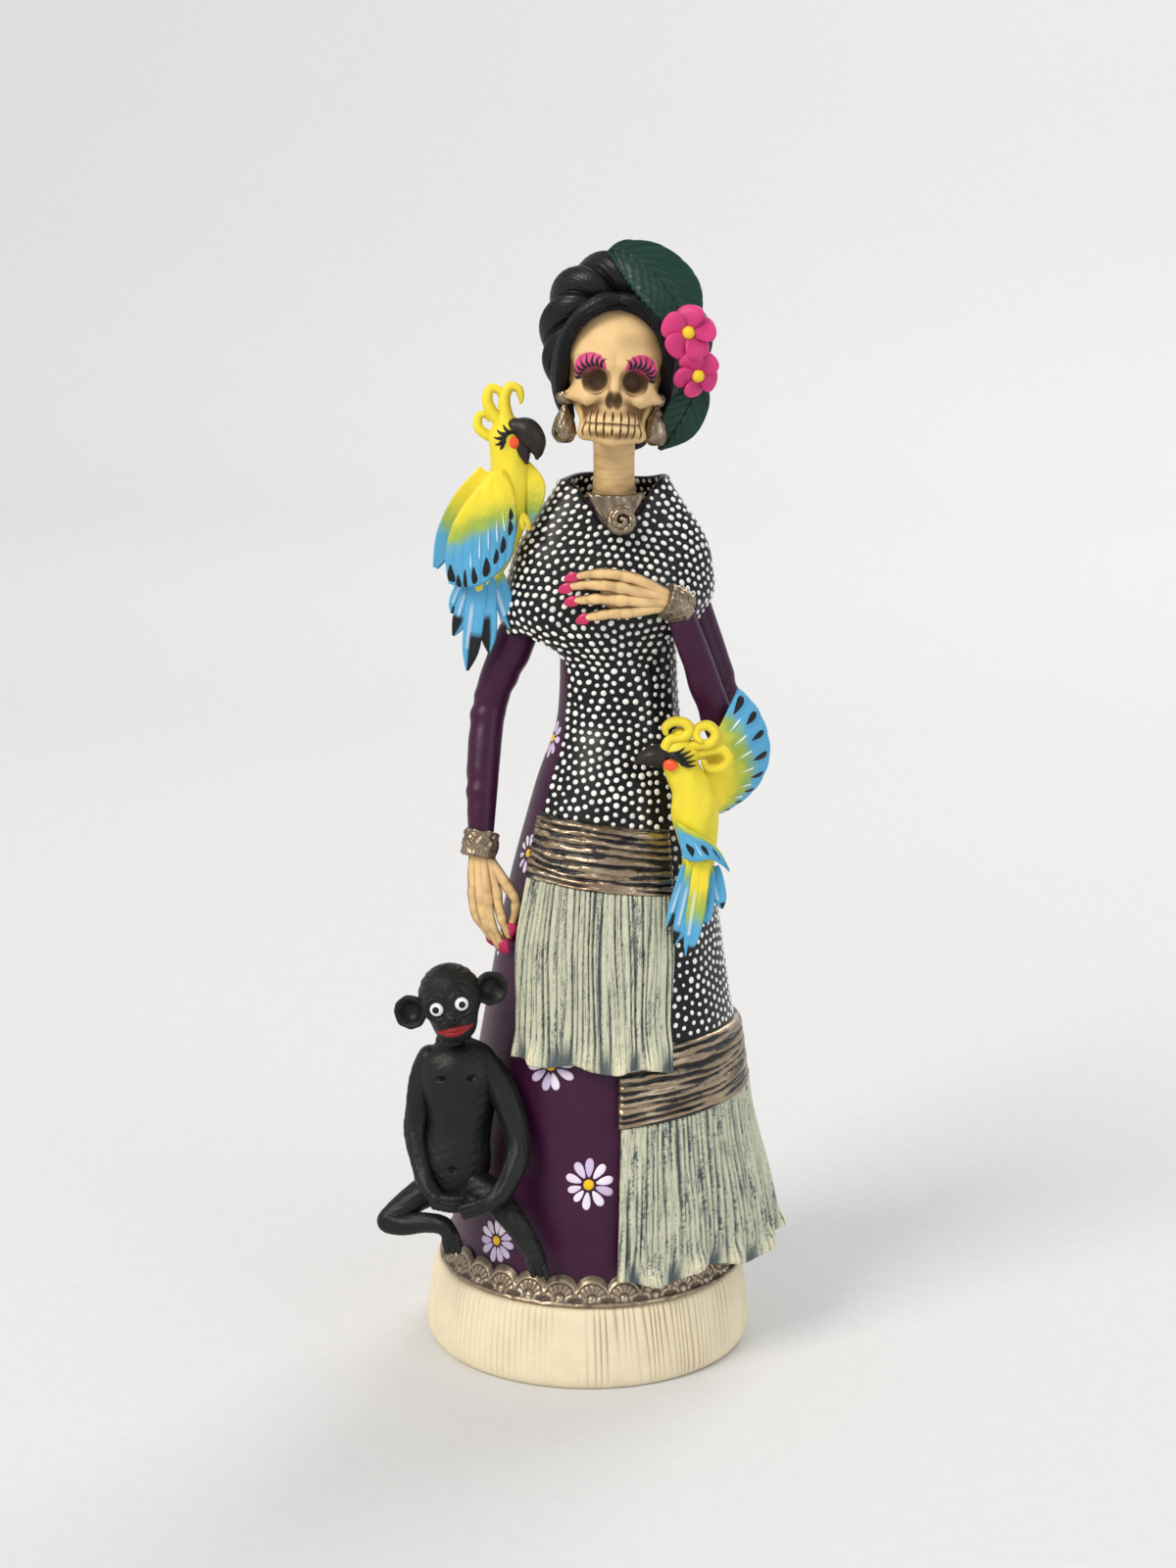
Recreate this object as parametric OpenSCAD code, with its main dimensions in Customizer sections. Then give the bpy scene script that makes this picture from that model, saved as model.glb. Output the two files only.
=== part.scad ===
// Painted clay catrina in a long dress and a spotted shawl, with a parrot on her shoulder,
// a parrot at her hip and a monkey sitting against her skirt. The hollow skirt is her base.
// Millimetres. +Z is up, she faces -Y, and her right hand is towards -X.

/* [Base] */
// Radius of the underskirt at its widest, just above the floor
base_r = 39.6; // [38:0.2:42]
// Height of the underskirt
underskirt_h = 19; // [18:0.5:20]
// Width of the ring that the figure stands on
foot_w = 3; // [2:0.5:4]
// Thickness of the clay of the skirt and the underskirt
wall_t = 4; // [3:0.5:5]
// Number of fans in the lace trim
trim_fans = 30; // [24:1:32]

/* [Dress] */
// Radius of the skirt at its hem
hem_r = 34.4; // [33.5:0.1:35]
// Sideways lean of the skirt, in degrees
lean_deg = 2.5; // [2:0.1:3]
// Height where the skirt ends and the upper body starts
waist_z = 146; // [144:1:148]

/* [Shawl] */
// Thickness of the shawl
shawl_t = 1.6; // [1.2:0.1:1.8]
// Thickness of the woven bands and the fringes
fringe_t = 2.4; // [2:0.1:2.8]
// Width of a fringe's strands, as an angle around the figure
strand_deg = 6; // [5:1:8]

/* [Wires] */
// Diameter of the wire in the neck and in the arms
wire_d = 1.6; // [1.2:0.1:1.8]

/* [Standing place] */
// Distance of the underskirt's centre from the origin, to the side
stand_x = 1.2; // [0:0.1:2]
// Distance of the underskirt's centre from the origin, to the back
stand_y = 1.2; // [0:0.1:3]

/* [Hidden] */

ivory = "#efe3c6";
bronze = "#a08a74";
plum = "#4a2348";
ink = "#26262a";
straw = "#cfd2b4";
bone = "#dcbb84";
crimson = "#c22d5c";
hair_black = "#2b2b2e";
leaf_green = "#1f4a3a";
pink = "#d9407f";
yellow = "#f4e04a";
sky = "#63b9e0";
orange = "#f0562a";
steel = "silver";

lean_x = tan(lean_deg);
wire_r = wire_d / 2;

// Middle line of the figure: its sideways place at each height
spine_x = [[0, 0], [waist_z, waist_z * lean_x], [165, 6], [180, 5.2], [205, 5.8]];
// Outline of the dress: its half width and half depth at each height
skirt_outline = smooth([[underskirt_h, hem_r], [38, 33.8], [60, 31], [91, 27], [114, 23.4],
    [135, 18.7], [waist_z, 15]], 2);
half_width = concat(skirt_outline, [[152, 13.5], [160, 12.9], [170, 12.7], [180, 12.3],
    [190, 11], [198, 9.5], [202, 6.5], [204, 5]]);
half_depth = concat(skirt_outline, [[152, 12.4], [160, 11.4], [170, 11.6], [180, 12],
    [190, 11], [198, 8.5], [202, 6], [204, 5]]);

// Places of the parts that several modules share: [x, y, z]
neck_foot = [6, 0, 203];
skull_at = [6, -5, 229];
right_wrist = [-25.2, -10.5, 123.2];
left_wrist = [19.9, -18.5, 180.3];

// ---------- curves and skins ----------

function unit(v) = v / norm(v);
function square_to(v, t) = unit(v - (v * t) * t);
function blend(a, b, t) = a * (1 - t) + b * t;
function ease(t) = let(s = min(max(t, 0), 1)) s * s * (3 - 2 * s);

// Smooth curve through the values or points of p, with n steps from each to the next
function smooth(p, n = 3) = let(m = len(p) - 1) concat(
    [for (i = [0:m - 1]) let(a = p[max(i - 1, 0)], b = p[i], c = p[i + 1], d = p[min(i + 2, m)])
        for (k = [0:n - 1]) let(t = k / n)
            (2 * b + (c - a) * t + (2 * a - 5 * b + 4 * c - d) * t * t
                + (3 * b - a - 3 * c + d) * t * t * t) / 2],
    [p[m]]);

// Direction of a path at each of its points
function headings(p) = let(n = len(p) - 1)
    [for (i = [0:n]) unit(p[min(i + 1, n)] - p[max(i - 1, 0)])];

// Sideways direction at each point, carried along the headings without a twist
function carried(t, side) = [for (i = 0, v = square_to(side, t[0]); i < len(t);
    i = i + 1, v = i < len(t) ? square_to(v, t[i]) : v) v];

// Rings of points around a path q of [x, y, z, radius], with a section that may be flat
function rings_along(q, sides, side, flat) = let(
    p = [for (w = q) [w.x, w.y, w.z]],
    t = headings(p),
    u = carried(t, side))
    [for (i = [0:len(q) - 1]) let(v = cross(t[i], u[i]))
        [for (k = [0:sides - 1]) let(a = 360 * k / sides)
            p[i] + q[i][3] * (cos(a) * u[i] + flat * sin(a) * v)]];

// Quads between the rings of a skin, each ring m points long
function band_faces(rows, m, first = 0) = [for (i = [0:rows - 2]) for (k = [0:m - 1])
    let(n = (k + 1) % m, a = first + i * m, b = a + m) [a + k, b + k, b + n, a + n]];

// Closed solid over a list of equal rings
module skin(rings) {
    m = len(rings[0]);
    last = (len(rings) - 1) * m;
    polyhedron([for (ring = rings) each ring], concat(
        band_faces(len(rings), m),
        [[for (k = [0:m - 1]) k]],
        [[for (k = [m - 1:-1:0]) last + k]]));
}

// Thin curved plate between two grids of points, rows upwards and columns to the right
module plate(outer, inner) {
    rings = [for (i = [0:len(outer) - 1])
        concat(outer[i], [for (j = [len(inner[i]) - 1:-1:0]) inner[i][j]])];
    m = len(rings[0]);
    last = (len(rings) - 1) * m;
    polyhedron([for (ring = rings) each ring], concat(
        band_faces(len(rings), m),
        [for (j = [0:m / 2 - 2]) [j, j + 1, m - 2 - j, m - 1 - j]],
        [for (j = [0:m / 2 - 2]) [last + m - 1 - j, last + m - 2 - j, last + j + 1, last + j]]));
}

// Wall between outer and inner rings, open at both ends
module sleeve_wall(outer, inner) {
    m = len(outer[0]);
    rows = len(outer);
    inside = rows * m;
    last = inside - m;
    polyhedron([for (ring = concat(outer, inner)) each ring], concat(
        band_faces(rows, m),
        [for (f = band_faces(rows, m, inside)) [f[3], f[2], f[1], f[0]]],
        [for (k = [0:m - 1]) let(n = (k + 1) % m) [k, n, inside + n, inside + k]],
        [for (k = [0:m - 1]) let(n = (k + 1) % m)
            [last + k, inside + last + k, inside + last + n, last + n]]));
}

// Solid limb, finger or curl along hand-placed points of [x, y, z, radius]
module limb(q, sides = 8, steps = 3, side = [0, 1, 0], flat = 1)
    skin(rings_along(smooth(q, steps), sides, side, flat));

// The same with a bore along its middle
module bored_limb(q, bore_r, sides = 10, steps = 3, side = [0, 1, 0]) {
    path = smooth(q, steps);
    bore = [for (w = path) [w.x, w.y, w.z, bore_r]];
    sleeve_wall(rings_along(path, sides, side, 1), rings_along(bore, sides, side, 1));
}

// Point on the dress at angle a and height z, moved outwards by out
function on_dress(a, z, out = 0) = [
    lookup(z, spine_x) + (lookup(z, half_width) + out) * cos(a),
    (lookup(z, half_depth) + out) * sin(a),
    z];

// Leaf or wing with a middle line q of [x, y, z, half width], t thick, facing along face
module leaf_blade(q, t, face, steps = 4) {
    path = smooth(q, steps);
    p = [for (w = path) [w.x, w.y, w.z]];
    heading = headings(p);
    across = [for (h = heading) unit(cross(h, face))];
    up = [for (i = [0:len(p) - 1]) unit(cross(across[i], heading[i]))];
    skin([for (i = [0:len(p) - 1]) let(w = path[i][3])
        [p[i] - w * across[i], p[i] - 0.5 * w * across[i] + t / 2 * up[i], p[i] + t / 2 * up[i],
            p[i] + 0.5 * w * across[i] + t / 2 * up[i], p[i] + w * across[i],
            p[i] + 0.5 * w * across[i] - t / 2 * up[i], p[i] - t / 2 * up[i],
            p[i] - 0.5 * w * across[i] - t / 2 * up[i]]]);
}

// Turns a part that is drawn along +Z so that it points along v
module aim(v) {
    tilt = acos(v.z / norm(v));
    rotate([0, tilt, atan2(v.y, v.x)]) children();
}

// Moves the figure from the middle of its underskirt to the origin
module standing() translate([stand_x, stand_y, 0]) children();

// ---------- skirts ----------

module underskirt() color(ivory) standing() rotate_extrude($fn = 96) polygon([
    [base_r - foot_w - 1.4, 0],
    [base_r - 1.4, 0],
    [base_r - 0.4, 1.2],
    [base_r, 3],
    [base_r - 0.6, 9],
    [base_r - 1.6, 15],
    [base_r - 2.6, 18],
    [base_r - 4, underskirt_h],
    [hem_r - wall_t, underskirt_h],
    [hem_r - wall_t, underskirt_h - 3],
    [base_r - foot_w - 2.6, 8]]);

// A thin sloping collar with a row of fans on it
module lace_trim() {
    collar_h = 4.6;
    collar_w = 2.4;
    fan_r = 3.5;
    fan_t = 1.1;
    gap = 0.15;
    color(bronze) standing() translate([lean_x * (underskirt_h + fan_r), 0, underskirt_h]) {
        rotate_extrude($fn = 96) polygon([[hem_r + gap, 0], [hem_r + collar_w, 0],
            [hem_r + collar_w - 1, collar_h], [hem_r + gap, collar_h]]);
        for (i = [0:trim_fans - 1])
            rotate([0, 0, 360 * i / trim_fans])
                translate([hem_r + 1.1, 0, collar_h - 0.2])
                    rotate([0, 78, 0])
                        cylinder(r = fan_r, h = fan_t, $fn = 24);
    }
}

module skirt() {
    closed_top = 5;
    inside = [for (w = skirt_outline) if (w[0] < waist_z - closed_top) [w[1] - wall_t, w[0]]];
    outside = [for (w = skirt_outline) [w[1], w[0]]];
    top_r = lookup(waist_z - closed_top, skirt_outline) - wall_t;
    below = 6;
    color(plum) standing() difference() {
        rotate([0, lean_deg, 0]) rotate_extrude($fn = 96) polygon(concat(
            [[hem_r - wall_t, underskirt_h - below], [hem_r, underskirt_h - below]],
            outside,
            [[0, waist_z], [0, waist_z - closed_top], [top_r, waist_z - closed_top]],
            [for (i = [len(inside) - 1:-1:0]) inside[i]]));
        translate([-base_r, -base_r, underskirt_h - 3 * below])
            cube([2 * base_r, 2 * base_r, 3 * below]);
    }
}

// ---------- body ----------

module torso() {
    heights = [waist_z, 152, 160, 170, 180, 190, 198, 202, neck_foot.z];
    step = 15;
    color(plum) standing() difference() {
        skin([for (z = heights) [for (a = [0:step:359]) on_dress(a, z)]]);
        translate([neck_foot.x, 0, neck_foot.z - 8]) cylinder(r = wire_r, h = 10, $fn = 24);
    }
}

module neck() {
    path = [[6, 0, 203, 5.2], [6, -0.3, 208, 4.7], [6, -1, 214.5, 4.8], [6, -1.2, 218, 5]];
    color(bone) standing() bored_limb(path, wire_r + 0.05, sides = 14, steps = 2);
}

module neck_wire() color(steel) standing()
    translate([neck_foot.x, 0, neck_foot.z - 8]) cylinder(r = wire_r, h = 12, $fn = 24);

// Her right arm hangs down and her left arm is folded over the chest
right_arm = [[-10.5, 0, 191, 4.4], [-12.5, 0, 182, 4.4], [-15.4, 0, 174, 4.6],
    [-18.3, -0.5, 167, 4.8], [-23.3, -1, 154, 3.9], [-24.4, -5.5, 142.5, 3.7],
    [-25, -9.6, 127, 3.4]];
left_arm = [[20.8, 0, 190, 4.3], [23.8, 0, 180, 4.3], [29, 0, 165, 4.2], [31.6, 0, 156, 4.2],
    [32.4, -3, 150.6, 4], [31.3, -7.7, 149.7, 3.9], [29.2, -11.2, 155, 3.8],
    [24.6, -15.2, 168, 3.5], [21.4, -17.6, 176.5, 3.3]];

module right_sleeve() color(plum) standing() bored_limb(right_arm, wire_r + 0.05);

module left_sleeve() color(plum) standing() bored_limb(left_arm, wire_r + 0.05);

module arm_wires() color(steel) standing()
    for (arm = [right_arm, left_arm])
        limb([for (w = arm) [w.x, w.y, w.z, wire_r]], sides = 8, steps = 3);

module bracelet(at, along, inner_r, outer_r, height) {
    lip = 0.5;
    color(bronze) standing() translate(at) aim(along) rotate_extrude($fn = 48) polygon([
        [inner_r, -height / 2], [outer_r - lip, -height / 2], [outer_r, lip - height / 2],
        [outer_r, height / 2 - lip], [outer_r - lip, height / 2], [inner_r, height / 2]]);
}

module right_bracelet() bracelet(right_wrist, [-0.2, -0.25, -1], 2.2, 4.3, 6.4);

module left_bracelet() bracelet(left_wrist, [-1, -0.35, 0.42], 2.2, 4.2, 6.2);

// Palm and five bony fingers; each finger is a list of [x, y, z, radius]
module hand(palm, fingers, side) color(bone) standing() {
    limb(palm, sides = 10, steps = 2, side = side, flat = 0.55);
    for (finger = fingers) limb(finger, sides = 6, steps = 2);
}

module right_hand() hand(
    [[-25.3, -11, 121.5, 2], [-25.2, -11.8, 116.5, 3.2], [-24.6, -12.4, 111, 3.9],
        [-24.2, -12.6, 109, 3.3]],
    [[[-27, -12.4, 109.5, 1.2], [-27, -13, 104, 1.2], [-24.4, -13.2, 98.5, 1]],
        [[-25, -12.8, 109, 1.2], [-24.4, -13.8, 103, 1.2], [-21.6, -14, 98.5, 1]],
        [[-23, -12.8, 109.5, 1.2], [-22, -14.2, 104, 1.2], [-19.6, -14.2, 100, 1]],
        [[-21.6, -12.6, 111, 1.2], [-19.8, -14, 106.5, 1.2], [-18.6, -13.6, 102.5, 1]],
        [[-23.2, -12.2, 117.5, 1.4], [-17.4, -13.4, 111.5, 1.3], [-18, -13.6, 105, 1]]],
    [1, 0, 0]);

module left_hand() hand(
    [[18, -19.3, 181, 2], [14.5, -20, 182, 3], [9.5, -20.2, 182.6, 3.8], [7, -20, 182.8, 3.2]],
    [[[8, -19.8, 185.8, 1.1], [2, -20, 187.4, 1.1], [-3.4, -18.4, 186.3, 0.9]],
        [[7.5, -20, 184, 1.1], [1, -20.6, 185.4, 1.1], [-4.8, -18.8, 184.2, 0.9]],
        [[7.5, -20, 182, 1.1], [1.5, -20.6, 182.8, 1.1], [-3.3, -19, 181.6, 0.9]],
        [[8, -19.8, 180.4, 1.1], [3.4, -20.4, 179.6, 1.1], [-0.8, -19, 177.8, 0.9]],
        [[13.5, -20.6, 184.6, 1.3], [9, -21.4, 187.6, 1.2], [4.6, -21, 188.6, 0.9]]],
    [0, 0, 1]);

// Each nail is a small cap beyond a fingertip
module nails(tips, along) color(crimson) standing()
    for (tip = tips) limb([concat(tip, 0.9), concat(tip + 1.2 * along, 1.05),
        concat(tip + 2.6 * along, 0.5)], sides = 6, steps = 2);

module right_nails() nails([[-24.2, -13.2, 98.1], [-21.3, -14, 98.2], [-19.3, -14.2, 99.7],
    [-18.4, -13.6, 102.1], [-18.1, -13.6, 104.6]], unit([0.5, 0, -1]));

module left_nails() nails([[-3.9, -18.3, 186.2], [-5.3, -18.6, 184], [-3.8, -18.8, 181.5],
    [-1.2, -18.8, 177.6], [4.1, -20.9, 188.6]], unit([-1, 0.2, -0.2]));

// ---------- shawl ----------

// Around the shoulders: low behind, open in a V in front, with a short stand-up collar
wrap_step = 15;
function wrap_hem_z(a) = 172.5 + 3.5 * cos(a) * cos(a) - 5 * max(sin(a), 0);
function wrap_neck_z(a) = 208 - 12 * pow(max(-sin(a), 0), 4);
function wrap_ring(t, inset) = let(
    middle = lookup(t, [[0, 5], [0.3, 5], [0.6, 4.9], [0.85, 6], [1, 7.2]]),
    half_w = lookup(t, [[0, 22.6], [0.15, 24.4], [0.3, 24.2], [0.55, 22], [0.8, 17.5], [1, 13.8]]),
    half_d = lookup(t, [[0, 15.4], [0.3, 15.6], [0.55, 14.8], [0.8, 12.4], [1, 10]]))
    [for (a = [0:wrap_step:359]) [middle + (half_w - inset) * cos(a),
        (half_d - inset) * sin(a), blend(wrap_hem_z(a), wrap_neck_z(a), t)]];

module shawl_wrap() {
    levels = [0, 0.15, 0.3, 0.45, 0.6, 0.75, 0.88, 1];
    color(ink) standing() sleeve_wall([for (t = levels) wrap_ring(t, 0)],
        [for (t = levels) wrap_ring(t, shawl_t)]);
}

// Sheet of shawl, band or fringe on the dress: foot and head give its heights at angle a,
// and out gives its distance from the dress at angle a and rise t
function edge_angles(left, right, step) = let(n = ceil((right - left) / step))
    [for (j = [0:n]) blend(left, right, j / n)];

shawl_step = 8;
front_left = -140;
front_right = -56;
side_right = 34;

module shawl_front_end() {
    rows = 8;
    columns = edge_angles(front_left, front_right, shawl_step);
    function height(a, t) = blend(132 - 3.4 * (a - front_left) / 84, 171.5, t);
    color(ink) standing() plate(
        [for (i = [0:rows]) [for (a = columns) on_dress(a, height(a, i / rows), 0.1 + shawl_t)]],
        [for (i = [0:rows]) [for (a = columns) on_dress(a, height(a, i / rows), 0.1)]]);
}

module shawl_side_end() {
    rows = 12;
    columns = edge_angles(front_right + 0.5, side_right, shawl_step);
    function height(a, t) = blend(lower_band_head(a), 171.5, t);
    function gap(t) = blend(1.4, 0.1, ease(2.5 * t));
    color(ink) standing() plate(
        [for (i = [0:rows]) let(t = i / rows)
            [for (a = columns) on_dress(a, height(a, t), gap(t) + shawl_t)]],
        [for (i = [0:rows]) let(t = i / rows) [for (a = columns) on_dress(a, height(a, t), gap(t))]]);
}

module upper_band() {
    rows = 4;
    columns = edge_angles(front_left - 1, front_right + 1, shawl_step);
    function height(a, t) = blend(116.8, 131.8, t) - 3.4 * (a - front_left) / 84;
    function out(t) = 0.2 + 0.4 * (1 - t);
    color(bronze) standing() plate(
        [for (i = [0:rows]) let(t = i / rows)
            [for (a = columns) on_dress(a, height(a, t), out(t) + fringe_t)]],
        [for (i = [0:rows]) let(t = i / rows) [for (a = columns) on_dress(a, height(a, t), out(t))]]);
}

function strand(a) = 0.25 * cos(360 * a / strand_deg);

module upper_fringe() {
    rows = 6;
    bottom_z = 76;
    columns = edge_angles(0, 1, strand_deg / 2 / 84);
    function angle(s, t) = blend(blend(-130, -62, s), blend(front_left, front_right, s), ease(1.5 * t));
    function height(s, t) = blend(bottom_z + 1.2 * cos(360 * 2.5 * s), 116.6 - 3.4 * s, t);
    function out(t) = blend(1.6, 0.6, ease(2 * t));
    color(straw) standing() plate(
        [for (i = [0:rows]) let(t = i / rows) [for (s = columns)
            on_dress(angle(s, t), height(s, t), out(t) + fringe_t + strand(84 * s))]],
        [for (i = [0:rows]) let(t = i / rows) [for (s = columns)
            on_dress(angle(s, t), height(s, t), out(t))]]);
}

lower_left = -82;
function side_turn(a) = ease((a + 60) / 60);
function lower_band_head(a) = 72 + 9 * ease((a - lower_left) / 60);
function lower_band_foot(a) = 60.6 + 3.2 * (a - lower_left) / 82;
function lower_band_out(a, z) = blend(0.6, 2 + (81 - z) * 0.06, side_turn(a));

module lower_band() {
    rows = 4;
    columns = edge_angles(lower_left, side_right + 1, shawl_step);
    function height(a, t) = blend(lower_band_foot(a), lower_band_head(a), t);
    function out(a, t) = lower_band_out(a, height(a, t));
    color(bronze) standing() plate(
        [for (i = [0:rows]) let(t = i / rows)
            [for (a = columns) on_dress(a, height(a, t), out(a, t) + fringe_t)]],
        [for (i = [0:rows]) let(t = i / rows)
            [for (a = columns) on_dress(a, height(a, t), out(a, t))]]);
}

// The lower fringe spreads outwards more at her side than in front
module lower_fringe() {
    rows = 6;
    bottom_z = 25.5;
    columns = edge_angles(lower_left + 1, side_right, strand_deg / 2);
    function height(a, t) = blend(bottom_z + 1.2 * cos(11 * a), lower_band_foot(a) - 0.2, t);
    function out(a, t) = blend(blend(2.6, 10.6, side_turn(a)), lower_band_out(a, 61), ease(0.25 + 0.75 * t));
    color(straw) standing() plate(
        [for (i = [0:rows]) let(t = i / rows)
            [for (a = columns) on_dress(a, height(a, t), out(a, t) + fringe_t + strand(a))]],
        [for (i = [0:rows]) let(t = i / rows)
            [for (a = columns) on_dress(a, height(a, t), out(a, t))]]);
}

// ---------- neck ornament ----------

module necklace() {
    plate_t = 1.2;
    color(bronze) standing() translate([6, -9.6, 203]) rotate([72, 0, 0])
        linear_extrude(plate_t, center = true)
            polygon([[-6.8, 0.6], [-2, -4.6], [1.6, -8], [5, -4.6], [7, 0.6], [0, 2]]);
}

module brooch() {
    outer_r = 3.3;
    bead_r = 1.1;
    color(bronze) standing() translate([7.5, -13.6, 198.8]) rotate([72, 0, 0]) {
        rotate_extrude($fn = 48) translate([outer_r - bead_r, 0]) circle(r = bead_r, $fn = 24);
        cylinder(r = 1.4, h = 1.6, center = true, $fn = 24);
    }
}

// ---------- head ----------

// Plain skull: brain case, cheeks and a square jaw, with shallow eye sockets
module skull() {
    eye_r = 3.4;
    eye_x = 4.8;
    color(bone) standing() translate(skull_at) difference() {
        union() {
            hull() {
                translate([0, 3, 6]) sphere(r = 11.2, $fn = 32);
                translate([0, -2, 1]) sphere(r = 10, $fn = 32);
            }
            hull() {
                translate([0, -3.5, -5]) sphere(r = 7.2, $fn = 32);
                translate([-2.5, -5.5, -10]) sphere(r = 3.4, $fn = 24);
                translate([2.5, -5.5, -10]) sphere(r = 3.4, $fn = 24);
            }
        }
        for (side = [-1, 1])
            translate([side * eye_x, -11.5, 1]) sphere(r = eye_r, $fn = 24);
        translate([0, 4.4, -16]) cylinder(r = 5.6, h = 6, $fn = 48);
    }
}

// Two smooth wings of hair, parted in the middle, from the brow to behind the ears
module hair_front() color(hair_black) standing()
    for (side = [-1, 1])
        limb([[6 + side * 1.5, -11, 247, 2.4], [6 + side * 5.5, -10, 245.2, 3],
            [6 + side * 10.2, -6.5, 240, 3.4], [6 + side * 12.6, -2.5, 232, 3.4],
            [6 + side * 12, 2, 224.5, 2.6]], sides = 8, side = [0, 0, 1], flat = 0.6);

// Gathered hair over the back of the head, down to the neck
module hair_back() color(hair_black) standing()
    limb([[8, 4, 252, 9], [8.4, 7.5, 246, 14.4], [8.8, 8.6, 236, 16.2], [9.6, 8, 226, 13.6],
        [9.6, 6.5, 218, 9], [9, 5.5, 214, 5]], sides = 16, side = [1, 0, 0], flat = 0.6);

// Thick twisted roll of hair standing up over the head
module braid_crown() {
    turns = 4;
    lobes = 3;
    path = smooth([[-6.5, 0, 229, 4], [-8, 1.5, 237, 5.4], [-5, 1, 246, 6.6],
        [2, 0.5, 251, 6.4], [10, 0.5, 251.4, 6.2], [18, 1, 247.5, 6], [23, 2, 240, 5]], 4);
    n = len(path) - 1;
    color(hair_black) standing() skin(rings_along(
        [for (i = [0:n]) let(w = path[i])
            [w.x, w.y, w.z, w[3] * (0.9 + 0.1 * cos(360 * turns * i / n))]],
        4 * lobes, [0, 1, 0], 1));
}

module upper_leaf() color(leaf_green) standing()
    leaf_blade([[9, -5, 259, 0.8], [13.5, -6.5, 256.5, 5.6], [19.5, -8.5, 250.5, 7.2],
        [23.2, -10.4, 243.6, 4.4], [23.6, -11, 240, 0.8]], 1.6, [0.5, -1, 0.6]);

module lower_leaf() color(leaf_green) standing()
    leaf_blade([[26.8, -6, 228.5, 0.8], [24.4, -6.5, 224, 4], [20.6, -6.5, 218.5, 4.6],
        [16.5, -6, 214.5, 0.8]], 1.4, [0.2, -1, 0]);

module flower(at, size, face) {
    petals = 5;
    petal_t = 1.6;
    color(pink) standing() translate(at) aim(face) linear_extrude(petal_t) {
        circle(r = 0.4 * size, $fn = 32);
        for (i = [0:petals - 1])
            rotate(360 * i / petals) translate([0.56 * size, 0]) circle(r = 0.44 * size, $fn = 32);
    }
}

upper_flower_at = [22.3, -14, 240.4];
lower_flower_at = [24.4, -12.6, 231.4];
flower_face = [0.2, -1, 0.05];

module upper_flower() flower(upper_flower_at, 5.8, flower_face);

module lower_flower() flower(lower_flower_at, 5, flower_face);

module flower_centres() color(yellow) standing()
    for (at = [upper_flower_at, lower_flower_at])
        translate(at + 2.2 * unit(flower_face)) sphere(r = 1.1, $fn = 24);

module earring(at) {
    stud_r = 1.7;
    drop_h = 8.6;
    color(bronze) standing() translate(at) {
        sphere(r = stud_r, $fn = 32);
        translate([0, 0, -stud_r - drop_h]) rotate_extrude($fn = 32) polygon([
            [0, 0], [1.6, 0.3], [2.5, 1.6], [2.6, 3], [1.9, 5], [0.9, 7.2], [0.5, drop_h + 0.4],
            [0, drop_h + 0.4]]);
    }
}

module right_earring() earring([-5.3, -6, 226.2]);

module left_earring() earring([15.6, -7.5, 225.6]);

// ---------- shoulder parrot ----------

module shoulder_parrot_body() color(yellow) standing()
    limb([[-18.4, -6, 220.8, 1.6], [-18.3, -6, 217.8, 3.8], [-18, -6, 213.5, 4.2],
        [-18, -6, 207, 5], [-20.5, -6, 199, 5.6], [-24, -5.6, 190, 4.6], [-25, -5.5, 185, 3]],
        sides = 12, steps = 2);

module shoulder_parrot_beak() color(ink) standing()
    limb([[-15.4, -7.4, 219.2, 1.6], [-13, -8, 218, 2.3], [-11.6, -8.4, 215.4, 1.9],
        [-12.6, -8.2, 212.4, 0.4]], sides = 8, steps = 3);

module curls(paths) color(yellow) standing()
    for (path = paths) limb([for (w = path) concat(w, 0.95)], sides = 6, steps = 3);

module shoulder_parrot_crest() curls([
    [[-19.2, -6, 220], [-20.4, -6, 224.5], [-18, -6, 228], [-15.8, -6, 226.6], [-15.7, -6, 224.6]],
    [[-20.6, -6, 219.8], [-24, -6, 223.4], [-23.6, -6, 227], [-21.6, -6, 227.4],
        [-20.9, -6, 225.2]],
    [[-21.8, -6, 217], [-25, -6, 218], [-26.2, -6, 220.4], [-24.8, -6, 221.8],
        [-24, -6, 220.4]]]);

module shoulder_parrot_near_wing() color(sky) standing()
    leaf_blade([[-19, -11.2, 210, 1.6], [-20, -12.2, 204, 4.2], [-22, -12.2, 195, 6],
        [-24.5, -11, 187, 6.4], [-26, -9.6, 182.5, 4]], 1.6, [0, -1, 0]);

module shoulder_parrot_far_wing() color(sky) standing()
    leaf_blade([[-23.2, -3, 209.5, 1.4], [-26.5, -2, 202.5, 3], [-30, -1, 194, 4],
        [-33.5, -1, 187, 1]], 1.6, [-0.5, -1, 0]);

// Tail of long single feathers that spread from a row of roots
module tail_feathers(root, spacing, tips) color(sky) standing()
    for (i = [0:len(tips) - 1]) {
        start = root + [(i - (len(tips) - 1) / 2) * spacing, 0, 0];
        limb([concat(start, 0.7), concat(blend(start, tips[i], 0.5), 1), concat(tips[i], 0.25)],
            sides = 6, steps = 3, side = [1, 0, 0], flat = 0.5);
    }

module shoulder_parrot_tail() tail_feathers([-24.8, -7, 182.6], 1.8,
    [[-31.4, -6, 176.5], [-30.4, -7, 170.5], [-27.6, -8, 163.8], [-23, -8, 167.5],
        [-18.6, -7, 173.8]]);

// ---------- hip parrot ----------

module hip_parrot_body() color(yellow) standing()
    limb([[20.8, -23, 150, 1.6], [20.6, -23, 146.8, 4], [22.4, -23.4, 142, 4.2],
        [23.6, -24, 136, 5.2], [24.6, -24, 129.5, 4.9], [25.4, -23.8, 124.5, 3]],
        sides = 12, steps = 2);

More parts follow.
